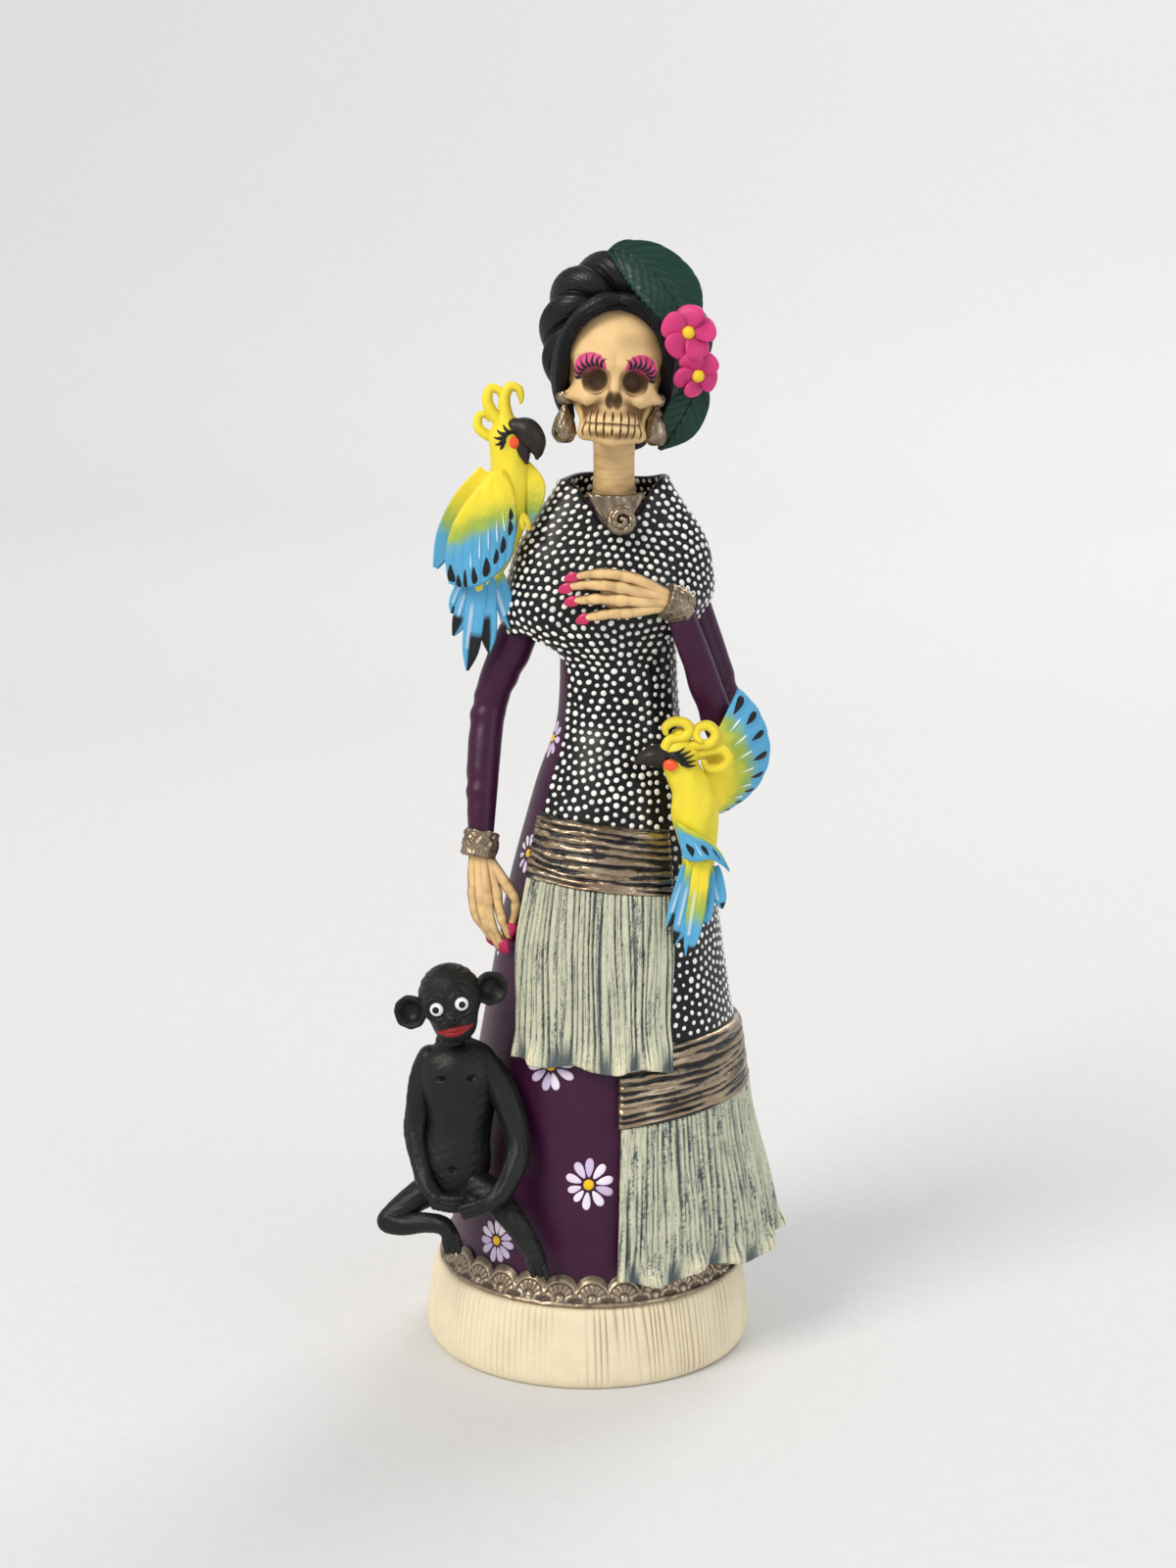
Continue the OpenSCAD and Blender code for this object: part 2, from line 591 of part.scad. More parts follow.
module hip_parrot_beak() color(ink) standing()
    limb([[17.2, -24.4, 148, 1.6], [14.6, -25, 147.6, 2.4], [12.2, -25.2, 145.8, 1.9],
        [11.4, -25, 143, 0.4]], sides = 8, steps = 3);

module hip_parrot_crest() curls([
    [[18, -24, 148.6], [17.2, -24, 152], [19.6, -24, 154], [21.4, -24, 151.6], [23.2, -24, 151]],
    [[21.8, -23.5, 149], [23.4, -23.5, 152.8], [26.2, -23.5, 153.6], [28, -23.5, 151.4],
        [26.2, -23.5, 149]],
    [[23.4, -23, 146.6], [26.6, -22.4, 148.4], [30, -21.6, 148], [31, -21.4, 145.4],
        [28.8, -21.6, 143.6]]]);

module hip_parrot_raised_wing() color(sky) standing()
    leaf_blade([[28, -18, 133.5, 2.4], [31.5, -15.6, 140.5, 6.4], [34.6, -13, 148.5, 6.2],
        [35.6, -11.4, 155, 3], [35, -11, 160, 0.5]], 1.6, [0.4, -1, 0]);

module hip_parrot_folded_wing() color(sky) standing()
    leaf_blade([[20.2, -29.4, 132.6, 1.2], [24.2, -30, 129.5, 4.4], [28.4, -28, 124.6, 4],
        [31.6, -24.4, 120.6, 0.8]], 1.5, [0.1, -1, 0]);

module hip_parrot_tail() tail_feathers([25.6, -25.6, 122], 1.8,
    [[18, -28.6, 107.6], [20, -29, 103.8], [23.2, -29.2, 101.2], [26.8, -28.8, 108],
        [30.4, -28, 111.8]]);

module parrot_eyes() color(orange) standing()
    for (at = [[-17.2, -9.7, 216], [17.8, -26.8, 145]])
        translate(at) sphere(r = 1, $fn = 24);

// ---------- monkey ----------

monkey_x = -31.5;

module monkey_torso() color(ink) standing()
    limb([[monkey_x, -22, 79, 3], [monkey_x + 1, -23, 74.5, 5.6], [monkey_x + 1.6, -24.6, 67, 7.6],
        [monkey_x + 1.4, -26, 57, 7.2], [monkey_x + 0.4, -27, 50, 8], [monkey_x, -27.4, 45, 6.4]],
        sides = 14, steps = 2, side = [1, 0, 0], flat = 0.78);

module monkey_head() color(ink) standing() hull() {
    translate([monkey_x + 0.4, -25.5, 91.5]) sphere(r = 7.2, $fn = 32);
    translate([monkey_x + 1.4, -27.6, 85.6]) sphere(r = 5.4, $fn = 32);
}

module monkey_ears() {
    ear_t = 2.2;
    color(ink) standing()
        for (ear = [[[-41, -25, 87.2], [-0.4, -1, 0]], [[-22.6, -24.4, 92.2], [0.4, -1, 0]]])
            translate(ear[0]) aim(ear[1]) rotate_extrude($fn = 32) polygon([
                [0, -ear_t / 2], [3.2, -ear_t / 2], [3.7, 0], [3.2, ear_t / 2], [2.2, 0.3], [0, 0]]);
}

module monkey_eyes() color("white") standing()
    for (at = [[-33.6, -32, 90], [-28, -32.4, 91.9]])
        translate(at) sphere(r = 1.8, $fn = 32);

module monkey_lips() color("#b3262a") standing()
    limb([[-34.2, -31.8, 83.4, 0.5], [-31.6, -32.9, 83.4, 1.1], [-28.4, -33, 84.4, 1.1],
        [-25.6, -31.6, 86, 0.5]], sides = 6, steps = 2);

module monkey_right_arm() color(ink) standing()
    limb([[-37, -23.6, 74.6, 2.6], [-40, -24.6, 69, 2.8], [-41.6, -26, 59, 2.3],
        [-39, -30.6, 50.5, 2], [-36, -34.6, 46, 1.9], [-30.4, -36.6, 45.4, 1.5]],
        sides = 8, steps = 2);

module monkey_left_arm() color(ink) standing()
    limb([[-24, -24.6, 72.8, 2.6], [-19.4, -27, 68, 2.9], [-14.4, -32, 56.5, 2.4],
        [-17.6, -36.6, 50, 2.1], [-21.4, -38.8, 45.6, 1.9], [-28, -40, 43, 1.5]],
        sides = 8, steps = 2);

module monkey_right_leg() color(ink) standing()
    limb([[-36, -28, 45.6, 3.6], [-42, -29.6, 41.6, 3.2], [-47, -31, 38.2, 2.6],
        [-44, -32.6, 36.6, 2.3], [-37, -34.6, 38.4, 2], [-32.4, -36.4, 39, 2],
        [-30.4, -37.6, 33.4, 1.6], [-30.8, -38.2, 29.6, 1]], sides = 8, steps = 2);

module monkey_left_leg() color(ink) standing()
    limb([[-26, -29, 45.8, 3.6], [-20.6, -33, 43.4, 3.2], [-16.4, -36.6, 39.4, 2.6],
        [-13.6, -37.6, 34.6, 2.2], [-11.6, -38.6, 30.6, 2.2], [-10.6, -41, 28.4, 1.4]],
        sides = 8, steps = 2);

underskirt();
lace_trim();
skirt();
torso();
shawl_wrap();
shawl_front_end();
shawl_side_end();
upper_band();
upper_fringe();
lower_band();
lower_fringe();
right_sleeve();
right_bracelet();
right_hand();
right_nails();
left_sleeve();
left_bracelet();
left_hand();
left_nails();
neck();
neck_wire();
arm_wires();
necklace();
brooch();
skull();
hair_front();
hair_back();
braid_crown();
upper_leaf();
lower_leaf();
upper_flower();
lower_flower();
flower_centres();
right_earring();
left_earring();
shoulder_parrot_body();
shoulder_parrot_beak();
shoulder_parrot_crest();
shoulder_parrot_near_wing();
shoulder_parrot_far_wing();
shoulder_parrot_tail();
hip_parrot_body();
hip_parrot_beak();
hip_parrot_crest();
hip_parrot_raised_wing();
hip_parrot_folded_wing();
hip_parrot_tail();
parrot_eyes();
monkey_torso();
monkey_head();
monkey_ears();
monkey_eyes();
monkey_lips();
monkey_right_arm();
monkey_left_arm();
monkey_right_leg();
monkey_left_leg();
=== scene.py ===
"""Painted clay catrina with two parrots and a monkey, built up from her base.

Lengths are in millimetres from the middle of her foot ring until a mesh is made.
She faces -Y, +X is her left side and +Z is up. Angles go around her: -90 is her front.
"""
from math import radians

import bmesh
import bpy
import numpy as np
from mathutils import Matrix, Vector


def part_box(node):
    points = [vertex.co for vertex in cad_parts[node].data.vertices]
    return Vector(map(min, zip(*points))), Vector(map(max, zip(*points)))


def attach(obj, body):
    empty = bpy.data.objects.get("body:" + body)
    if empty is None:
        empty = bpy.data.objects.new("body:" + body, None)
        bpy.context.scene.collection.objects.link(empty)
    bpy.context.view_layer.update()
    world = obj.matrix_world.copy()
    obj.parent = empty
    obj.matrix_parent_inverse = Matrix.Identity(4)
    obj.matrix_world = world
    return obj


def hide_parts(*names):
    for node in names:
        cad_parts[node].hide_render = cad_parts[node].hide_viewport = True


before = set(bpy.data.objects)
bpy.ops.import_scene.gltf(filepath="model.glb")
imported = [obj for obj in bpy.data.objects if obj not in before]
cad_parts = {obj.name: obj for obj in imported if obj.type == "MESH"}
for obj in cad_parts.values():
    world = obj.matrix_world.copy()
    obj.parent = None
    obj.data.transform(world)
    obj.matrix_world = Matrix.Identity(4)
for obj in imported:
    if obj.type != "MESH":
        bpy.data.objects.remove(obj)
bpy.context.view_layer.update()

# ---------------------------------------------------------------- underskirt
# A rolled-out strip of clay closed to a ring and pinched in at the top; it carries the figure.
# Pleats were drawn down its outside with a needle, and it is painted ivory, with painted shade of
# light brown darkening the pleats.

MM = 0.001
ring_low, ring_high = (np.array(corner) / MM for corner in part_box("underskirt"))
STAND = np.array([(ring_low[0] + ring_high[0]) / 2, (ring_low[1] + ring_high[1]) / 2, 0])
BASE_R = (ring_high[0] - ring_low[0]) / 2
BASE_H = ring_high[2]


def linear(code):
    """Linear red, green and blue of an sRGB hex colour: c/12.92, or ((c + 0.055)/1.055)^2.4."""
    c = np.array([int(code[i:i + 2], 16) for i in (1, 3, 5)]) / 255
    return np.where(c <= 0.04045, c / 12.92, ((c + 0.055) / 1.055) ** 2.4)


def ease(t):
    """Soft step from 0 to 1: 3t^2 - 2t^3."""
    t = np.clip(t, 0, 1)
    return t * t * (3 - 2 * t)


def mix(a, b, t):
    """Straight blend a + (b - a) t. A grid of t without the last axis of a, such as that of a
    colour or a point, is given it; one colour may be blended by a whole grid."""
    t = np.asarray(t)
    one_for_all = np.ndim(a) == 1 and t.ndim and np.shape(a) != t.shape
    if one_for_all or np.ndim(a) > t.ndim > 0:
        t = t[..., None]
    return a + (b - a) * t


def smooth(points, t):
    """Catmull-Rom curve through rows of points, at t from 0 to 1."""
    p = np.asarray(points, float)
    last = len(p) - 1
    s = np.clip(np.asarray(t, float), 0, 1) * last
    i = np.minimum(s.astype(int), last - 1)
    f = (s - i)[..., None]
    a, b, c, d = (p[np.clip(i + k, 0, last)] for k in (-1, 0, 1, 2))
    return (2 * b + (c - a) * f + (2 * a - 5 * b + 4 * c - d) * f ** 2
            + (3 * b - a - 3 * c + d) * f ** 3) / 2


def wander(x, y, seed, waves=6):
    """Soft noise of about -1 to 1: a sum of sine waves in seeded directions and phases."""
    rng = np.random.default_rng(seed)
    total = 0
    for kx, ky, phase in zip(rng.uniform(-1, 1, waves), rng.uniform(-1, 1, waves),
                             rng.uniform(0, 2 * np.pi, waves)):
        total = total + np.sin(2 * np.pi * (kx * x + ky * y) + phase)
    return total / np.sqrt(waves)


def piece(name, grids, material, stands_for=(), paint=None, wrap=True):
    """One object from grids of points (rows, columns, xyz); wrap joins last column to first.

    Borders and poles that fall together are welded, which closes them, and faces are turned
    outwards. paint gives each grid red, green, blue and perhaps a metal share, either for each of
    its points or once for all of them.
    """
    grids = [grids] if isinstance(grids, np.ndarray) else list(grids)
    quads, start = [], 0
    for g in grids:
        rows, cols = g.shape[:2]
        ids = start + np.arange(rows * cols).reshape(rows, cols)
        if wrap:
            ids = np.concatenate([ids, ids[:, :1]], 1)
        quads.append(np.stack([ids[:-1, :-1], ids[:-1, 1:], ids[1:, 1:], ids[1:, :-1]],
                              -1).reshape(-1, 4))
        start += rows * cols
    points = (np.concatenate([g.reshape(-1, 3) for g in grids]) + STAND) * MM
    mesh = bpy.data.meshes.new(name)
    mesh.from_pydata(points.tolist(), [], np.concatenate(quads).tolist())
    if paint is not None:
        paint = [paint] if isinstance(paint, np.ndarray) else list(paint)
        colours = np.concatenate([np.broadcast_to(c, (*g.shape[:2], c.shape[-1]))
                                  .reshape(-1, c.shape[-1]) for g, c in zip(grids, paint)])
        if colours.shape[1] == 3:
            colours = np.concatenate([colours, np.zeros((len(colours), 1))], 1)
        layer = mesh.color_attributes.new("paint", "FLOAT_COLOR", "POINT")
        layer.data.foreach_set("color", colours.astype(np.float32).ravel())
    work = bmesh.new()
    work.from_mesh(mesh)
    bmesh.ops.remove_doubles(work, verts=work.verts, dist=2e-6)
    bmesh.ops.dissolve_degenerate(work, edges=work.edges, dist=1e-7)
    bmesh.ops.recalc_face_normals(work, faces=work.faces)
    work.to_mesh(mesh)
    work.free()
    mesh.polygons.foreach_set("use_smooth", [True] * len(mesh.polygons))
    mesh.materials.append(material)
    thing = bpy.data.objects.new(name, mesh)
    bpy.context.scene.collection.objects.link(thing)
    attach(thing, "root")
    if stands_for:
        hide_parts(*stands_for)
    return thing


def add(material, kind, links=None, **settings):
    """Adds a node with its settings; links gives input values or the outputs that feed them."""
    n = material.node_tree.nodes.new(kind)
    for key, value in settings.items():
        setattr(n, key, value)
    for key, value in (links or {}).items():
        if isinstance(value, bpy.types.NodeSocket):
            material.node_tree.links.new(value, n.inputs[key])
        else:
            n.inputs[key].default_value = value
    return n


def painted_clay(name, colour=None, roughness=0.5, uneven=0.12, grain=0.4, dent=0.05,
                 metallic=False, coat=0.0, shine=0.28):
    """Acrylic brushed on hand-modelled clay: shade drifts over about 6 mm, with fine grain.

    colour is one sRGB hex value, or None to take the painted-on colours of the mesh. grain is
    the size of the paint's grain and dent the depth of its bump, both in mm.
    """
    m = bpy.data.materials.new(name)
    m.use_nodes = True
    shader = m.node_tree.nodes["Principled BSDF"]
    place = add(m, "ShaderNodeTexCoord").outputs["Object"]
    drift = add(m, "ShaderNodeTexNoise", {"Vector": place, "Scale": 1 / (6 * MM), "Detail": 4.0})
    fine = add(m, "ShaderNodeTexNoise", {"Vector": place, "Scale": 1 / (grain * MM),
                                         "Detail": 3.0, "Roughness": 0.6})
    level = add(m, "ShaderNodeMapRange", {"Value": drift.outputs["Fac"], "From Min": 0.3,
                                          "From Max": 0.7, "To Min": 1 - uneven,
                                          "To Max": 1 + uneven})
    if colour:
        base = tuple(linear(colour))
    else:
        paint = add(m, "ShaderNodeAttribute", attribute_name="paint")
        base = paint.outputs["Color"]
        if metallic:
            m.node_tree.links.new(paint.outputs["Alpha"], shader.inputs["Metallic"])
    shaded = add(m, "ShaderNodeVectorMath", {0: base, "Scale": level.outputs["Result"]},
                 operation="SCALE")
    m.node_tree.links.new(shaded.outputs["Vector"], shader.inputs["Base Color"])
    rough = add(m, "ShaderNodeMapRange", {"Value": fine.outputs["Fac"], "From Min": 0.3,
                                          "From Max": 0.7, "To Min": roughness - 0.07,
                                          "To Max": roughness + 0.07})
    m.node_tree.links.new(rough.outputs["Result"], shader.inputs["Roughness"])
    bump = add(m, "ShaderNodeBump", {"Height": fine.outputs["Fac"], "Strength": 0.6,
                                     "Distance": dent * MM})
    m.node_tree.links.new(bump.outputs["Normal"], shader.inputs["Normal"])
    shader.inputs["Specular IOR Level"].default_value = shine
    shader.inputs["Coat Weight"].default_value = coat
    shader.inputs["Coat Roughness"].default_value = 0.25
    return m


def polar(r, a, z):
    """Point at radius r, angle a in degrees and height z."""
    return np.stack(np.broadcast_arrays(r * np.cos(np.radians(a)), r * np.sin(np.radians(a)), z),
                    -1)


IVORY = linear("#e9dcbc")
IVORY_PLEAT_SHADE = linear("#bca587")
ivory_clay = painted_clay("ivory_acrylic_on_clay", roughness=0.55, uneven=0.05, grain=0.5)

wall = np.array([[-4.4, 0], [-2.9, 0], [-1.4, 0], [-0.5, 0.9], [-0.05, 2.6], [-0.2, 6],
                 [-0.7, 10], [-1.3, 14], [-1.9, 17.4], [-2.8, 18.8], [-5, BASE_H],
                 [-9.2, BASE_H], [-9.2, 16], [-7, 12], [-5.6, 8], [-4.6, 3], [-4.4, 0]])
round_angle = np.linspace(-180, 180, 1800, endpoint=False)
profile = smooth(wall, np.linspace(0, 1, 34))
profile[:, 1] = np.clip(profile[:, 1], 0, BASE_H)
around, rise = np.meshgrid(round_angle, np.arange(len(profile)), indexing="xy")
drift = wander(around / 40, profile[rise, 1] / 60, 3)
pleat = np.abs(np.sin(np.radians(around * 78 + 130 * drift + 45 * wander(around / 9, 0, 4))))
press = np.clip(0.55 + 0.6 * wander(around / 16, profile[rise, 1] / 40, 5), 0, 1)
press = press * mix(0.5, 1.35, ease((around + 120) / 60)) * (profile[rise, 0] > -4.2)
press = press * (1 - 0.6 * ease(profile[rise, 1] / 4 - 4.2)) * ease(profile[rise, 1] / 2)
groove = np.exp(-(pleat / 0.4) ** 2) * press
shape = polar(BASE_R + profile[rise, 0] - 0.5 * groove + 0.1 * drift * ease(profile[rise, 1] / 6),
              around, profile[rise, 1])
# Painted shade: the ivory turns towards light brown in the grooves of the pleats.
piece("underskirt_shell", shape, ivory_clay, ["underskirt"],
      mix(IVORY, IVORY_PLEAT_SHADE, np.clip(0.6 * groove, 0, 1)))

# ---------------------------------------------------------------- dress
# Skirt and upper body are one hollow cone of clay, smoothed with a wet finger and painted plum
# in satin acrylic. It leans a little to her left. White daisies are painted on it freehand.

WAIST_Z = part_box("skirt")[1][2] / MM
LEAN = 0.0437  # sideways lean of the skirt, mm for each mm up
outline = np.array([  # height, half width, half depth
    [19, 34.4, 34.4], [38, 33.8, 33.8], [60, 31, 31], [91, 27, 27], [114, 23.4, 23.4],
    [135, 18.7, 18.7], [WAIST_Z, 15, 15], [152, 13.5, 12.6], [160, 12.9, 11.6],
    [170, 12.7, 11.6], [180, 12.3, 12], [190, 11, 11], [198, 9.5, 8.5], [202.5, 6.4, 6],
    [204, 4, 4]])
dense = smooth(outline, np.linspace(0, 1, 400))
spine = np.array([[0, 0], [WAIST_Z, WAIST_Z * LEAN], [165, 6.2], [180, 5.4], [205, 5.8]])


def on_dress(a, z, out=0.0):
    """Dress at angle a and height z, moved out: middle(z) + (half width cos a, half depth sin a)."""
    a, z, out = np.broadcast_arrays(a, z, out)
    turn = np.radians(a)
    w = np.interp(z, dense[:, 0], dense[:, 1]) + out
    d = np.interp(z, dense[:, 0], dense[:, 2]) + out
    return np.stack([np.interp(z, spine[:, 0], spine[:, 1]) + w * np.cos(turn),
                     d * np.sin(turn), z], -1)


def lift(surface, u, v, height, step=0.02):
    """Point on surface(u, v) raised along its normal, du cross dv, by height."""
    across = surface(u + step, v) - surface(u - step, v)
    along = surface(u, v + step) - surface(u, v - step)
    normal = np.cross(across, along)
    normal /= np.maximum(np.linalg.norm(normal, axis=-1, keepdims=True), 1e-12)
    return surface(u, v) + normal * np.asarray(height)[..., None]


def daubs(surface, centres, reach, turn, thick, sides=12, pinch=0.0, sink=0.12):
    """Strokes of paint on a surface: closed low domes, one for each centre (u, v).

    reach holds each stroke's half length and half width as (du, dv) vectors per stroke; a pinch
    above 0 narrows the end that points towards -length, as in a drop.
    """
    ring = np.array([0, 0.5, 0.85, 1, 1, 0])
    dome = np.array([1, 0.9, 0.55, 0, -sink / thick, -sink / thick]) * thick
    t = np.linspace(0, 2 * np.pi, sides, endpoint=False) + turn
    along = np.cos(t)
    wide = np.sin(t) * (1 - pinch * (0.5 - 0.5 * along))
    r = ring[None, :, None, None]
    uv = (centres[:, None, None] + r * along[None, None, :, None] * reach[0][:, None, None]
          + r * wide[None, None, :, None] * reach[1][:, None, None])
    height = np.broadcast_to(dome[None, :, None], uv.shape[:-1])
    return list(lift(surface, uv[..., 0], uv[..., 1], height))


def scale_at(surface, u, v, step=0.02):
    """Millimetres of surface per unit of u and of v."""
    across = np.linalg.norm(surface(u + step, v) - surface(u - step, v), axis=-1)
    along = np.linalg.norm(surface(u, v + step) - surface(u, v - step), axis=-1)
    return across / (2 * step), along / (2 * step)


plum_clay = painted_clay("plum_satin_acrylic_on_clay", "#3c1133", roughness=0.4, uneven=0.1,
                         grain=0.7, dent=0.03)
heights = np.concatenate([np.linspace(BASE_H, 203.6, 140), [204]])
around, rise = np.meshgrid(np.linspace(-180, 180, 240, endpoint=False), heights)
waver = wander(1.5 * np.cos(np.radians(around)) + rise / 30, 1.5 * np.sin(np.radians(around)), 7)
outside = on_dress(around, rise, 0.12 * waver)
tip = np.repeat(outside[-1:].mean(1, keepdims=True), outside.shape[1], 1)
inner_z = np.linspace(WAIST_Z - 5, BASE_H, 40)
around, rise = np.meshgrid(np.linspace(-180, 180, 240, endpoint=False), inner_z)
inside = on_dress(around, rise, -4.0)
crown = np.repeat(inside[:1].mean(1, keepdims=True), inside.shape[1], 1)
piece("dress_shell", [np.concatenate([outside, tip]),
                      np.concatenate([crown, inside, outside[:1]])],
      plum_clay, ["skirt", "torso"])

daisy_paint = painted_clay("white_and_lilac_acrylic", roughness=0.45, uneven=0.06, grain=0.3)
rng = np.random.default_rng(11)
petals, petal_paint = [], []
for angle, height, size, count in ((-114, 74.4, 6, 10), (-93.4, 47.6, 6, 10),
                                   (-132, 31.2, 5.4, 11), (-151, 121, 5, 10),
                                   (-166, 100, 5, 10), (-169, 147, 4.6, 9), (-161, 62, 5, 10),
                                   (166, 40, 5.4, 10), (150, 88, 5.2, 10), (120, 55, 5.4, 11),
                                   (105, 112, 5, 10), (88, 78, 5.2, 10), (72, 36, 5.4, 10),
                                   (58, 100, 5.2, 10), (128, 134, 4.8, 9)):
    per_u, per_v = scale_at(on_dress, np.array(angle), np.array(height))
    turn = np.linspace(0, 2 * np.pi, count, endpoint=False) + rng.uniform(0, 1)
    turn = turn + rng.normal(0, 0.05, count)
    far = size * rng.uniform(0.9, 1.06, count)
    heading = np.stack([np.cos(turn), np.sin(turn)], -1) / [per_u, per_v]
    across = np.stack([-np.sin(turn), np.cos(turn)], -1) / [per_u, per_v]
    half = 0.36 * far
    centre = np.array([angle, height]) + heading * (0.3 * size + half)[:, None] * 0.98
    petals += daubs(on_dress, centre, (heading * half[:, None], across * 0.225 * size), 0, 0.14,
                    sides=14, pinch=0.55)
    lilac = rng.uniform(0, 1, count)
    for k in range(count):
        shade = mix(linear("#f2e9f6"), linear("#c7b2da"), lilac[k])
        petal_paint.append(shade)
    petals += daubs(on_dress, np.array([[angle, height]], float),
                    (np.array([[0.21 * size / per_u, 0]]), np.array([[0, 0.21 * size / per_v]])),
                    0, 0.3, sides=14)
    petal_paint.append(linear("#f2c51d"))
piece("dress_daisies", petals, daisy_paint, paint=petal_paint)

# ---------------------------------------------------------------- lace trim
# A strip of clay pressed with a shell-shaped stamp and laid round the hem, over the join between
# dress and underskirt. Its silver-bronze paint is darker and less metallic in the hollows and
# along its foot.

FANS = 30
LACE_R, LACE_FOOT, LACE_NECK = 35.6, 19.05, 23.6  # its radius, and heights of foot and notches
BRONZE = linear("#b5a28a")
BRONZE_DARK = linear("#2c2119")
bronze_paint = painted_clay("silver_bronze_paint", roughness=0.32, uneven=0.16, grain=0.35,
                            dent=0.05, metallic=True, shine=0.5)

columns = 24 * FANS
around = np.linspace(-180, 180, columns, endpoint=False)
cell = (around / 360 * FANS) % 1 - 0.5
x = cell * 2 * np.pi * LACE_R / FANS
top = LACE_NECK + 2.75 * np.sqrt(np.maximum(1 - (x / 3.78) ** 2, 0.01))
path = np.concatenate([np.linspace(0, 0.3, 14), np.linspace(0.33, 0.93, 26),
                       np.linspace(0.95, 1, 6)])
front = np.interp(path, [0, 0.06, 0.15, 0.24, 0.3, 0.9, 0.97, 1],
                  [0.1, 2.2, 3.0, 2.6, 2.1, 0.8, 0.5, 0.1])
z = LACE_FOOT + (top[None, :] - LACE_FOOT) * np.interp(path, [0, 0.06, 0.15, 0.24, 0.3, 1],
                                               [0, 0.01, 0.1, 0.2, 0.24, 1])[:, None]
dx, dz = np.broadcast_arrays(x[None, :], z - 21.0)
far = np.hypot(dx, dz)
fan = ease((far - 1.1) / 0.5) * ease((3.5 - far) / 0.5) * ease((z - 20.6) / 0.5)
ridge = 0.5 + 0.5 * np.cos(13 * np.arctan2(dx, dz + 0.2) * 1.15)
ridge = np.where(far > 3.3, 1.2 * np.exp(-((far - 3.9) / 0.35) ** 2), ridge)
fan = np.maximum(fan, ease((far - 3.3) / 0.2) * ease((z - 20.9) / 0.4))
bead = np.sqrt(np.clip(1 - (far / 0.95) ** 2, 0, 1))
small = sum(np.sqrt(np.clip(1 - ((dx - px) ** 2 + (z - pz) ** 2) / 0.3, 0, 1))
            for px, pz in ((-1.5, 20.75), (0, 20.15), (1.5, 20.75), (-3.72, 22.4), (3.72, 22.4)))
relief = 0.32 * fan * ridge + 0.6 * bead + 0.4 * small - 0.2 * (1 - fan) * (z > 20.4)
relief = relief * np.interp(path, [0, 0.24, 0.3, 0.9, 1], [0, 0, 1, 1, 0])[:, None]
face = on_dress(around[None, :], z, front[:, None] + relief)
back = on_dress(around[None, :], np.stack([top, LACE_FOOT + 0 * top]), 0.1)
dark = 1 - ease((relief + 0.1) / 0.42)
dark = np.where(z < 20.2, 0.25 + 0.3 * wander(around / 4, 0, 21)[None, :], dark)
dark = np.clip(dark * 0.85, 0, 0.95)
paint = np.concatenate([mix(BRONZE, BRONZE_DARK, dark), 1 - 0.9 * dark[..., None]], -1)
piece("lace_trim_fans", np.concatenate([face, back, face[:1]]), bronze_paint, ["lace_trim"],
      np.concatenate([paint, paint[-2:], paint[:1]]))

# ---------------------------------------------------------------- sleeves
# Each arm is a roll of clay over a steel wire, painted with the plum satin of the dress. The
# wires stick into the shoulders and hold the arms; they and the neck wire are bare steel.


def unit(v):
    """Vectors scaled to length 1."""
    return v / np.maximum(np.linalg.norm(v, axis=-1, keepdims=True), 1e-12)


def limb(q, steps=60, sides=32, side=(0, 1, 0), flat=1.0, relief=None, cap=6):
    """Roll of clay along a smooth path q of [x, y, z, radius], with half-round ends.

    A point is the path plus radius (cos a, flat sin a) across it, where side is the cross
    direction of angle 0. relief(a, t) is added to the radius. Also gives a and t as grids.
    """
    t = np.linspace(0, 1, steps)
    w = smooth(q, t)
    heading = unit(np.gradient(w[:, :3], axis=0))
    swing = np.linspace(0, np.pi / 2, cap + 1)
    shrink = np.sin(swing)[:-1]
    reach = np.cos(swing)[:-1]
    middle = np.concatenate([w[:1, :3] - heading[:1] * (reach * w[0, 3] * min(flat, 1))[:, None],
                             w[:, :3],
                             w[-1:, :3] + heading[-1:] * (reach[::-1] * w[-1, 3]
                                                          * min(flat, 1))[:, None]])
    radius = np.concatenate([shrink * w[0, 3], w[:, 3], shrink[::-1] * w[-1, 3]])
    heading = np.concatenate([heading[:1].repeat(cap, 0), heading, heading[-1:].repeat(cap, 0)])
    along = np.concatenate([np.zeros(cap), t, np.ones(cap)])[:, None]
    around = np.linspace(0, 2 * np.pi, sides, endpoint=False)[None, :]
    u = np.array(side, float) - heading * (heading @ np.array(side, float))[:, None]
    u = unit(u)[:, None]
    v = np.cross(heading[:, None], u)
    r = radius[:, None]
    if relief is not None:
        r = r + relief(around, along) * np.minimum(r / np.abs(w[:, 3]).mean(), 1)
    shape = middle[:, None] + r[..., None] * (np.cos(around)[..., None] * u
                                              + flat * np.sin(around)[..., None] * v)
    return shape, around + 0 * along, along + 0 * around


def creases(places, depth):
    """Relief of bent cloth: shallow waves across a roll, fading away from each place along it."""
    def relief(a, t):
        total = 0.08 * wander(a / 3, t * 3, 31)
        for place, spread, facing in places:
            total = total + depth * np.exp(-((t - place) / spread) ** 2) * np.sin(
                (t - place) / spread * 5 + 0.7 * np.cos(a - facing)) * (0.4 + 0.6 * np.cos(a - facing))
        return total
    return relief


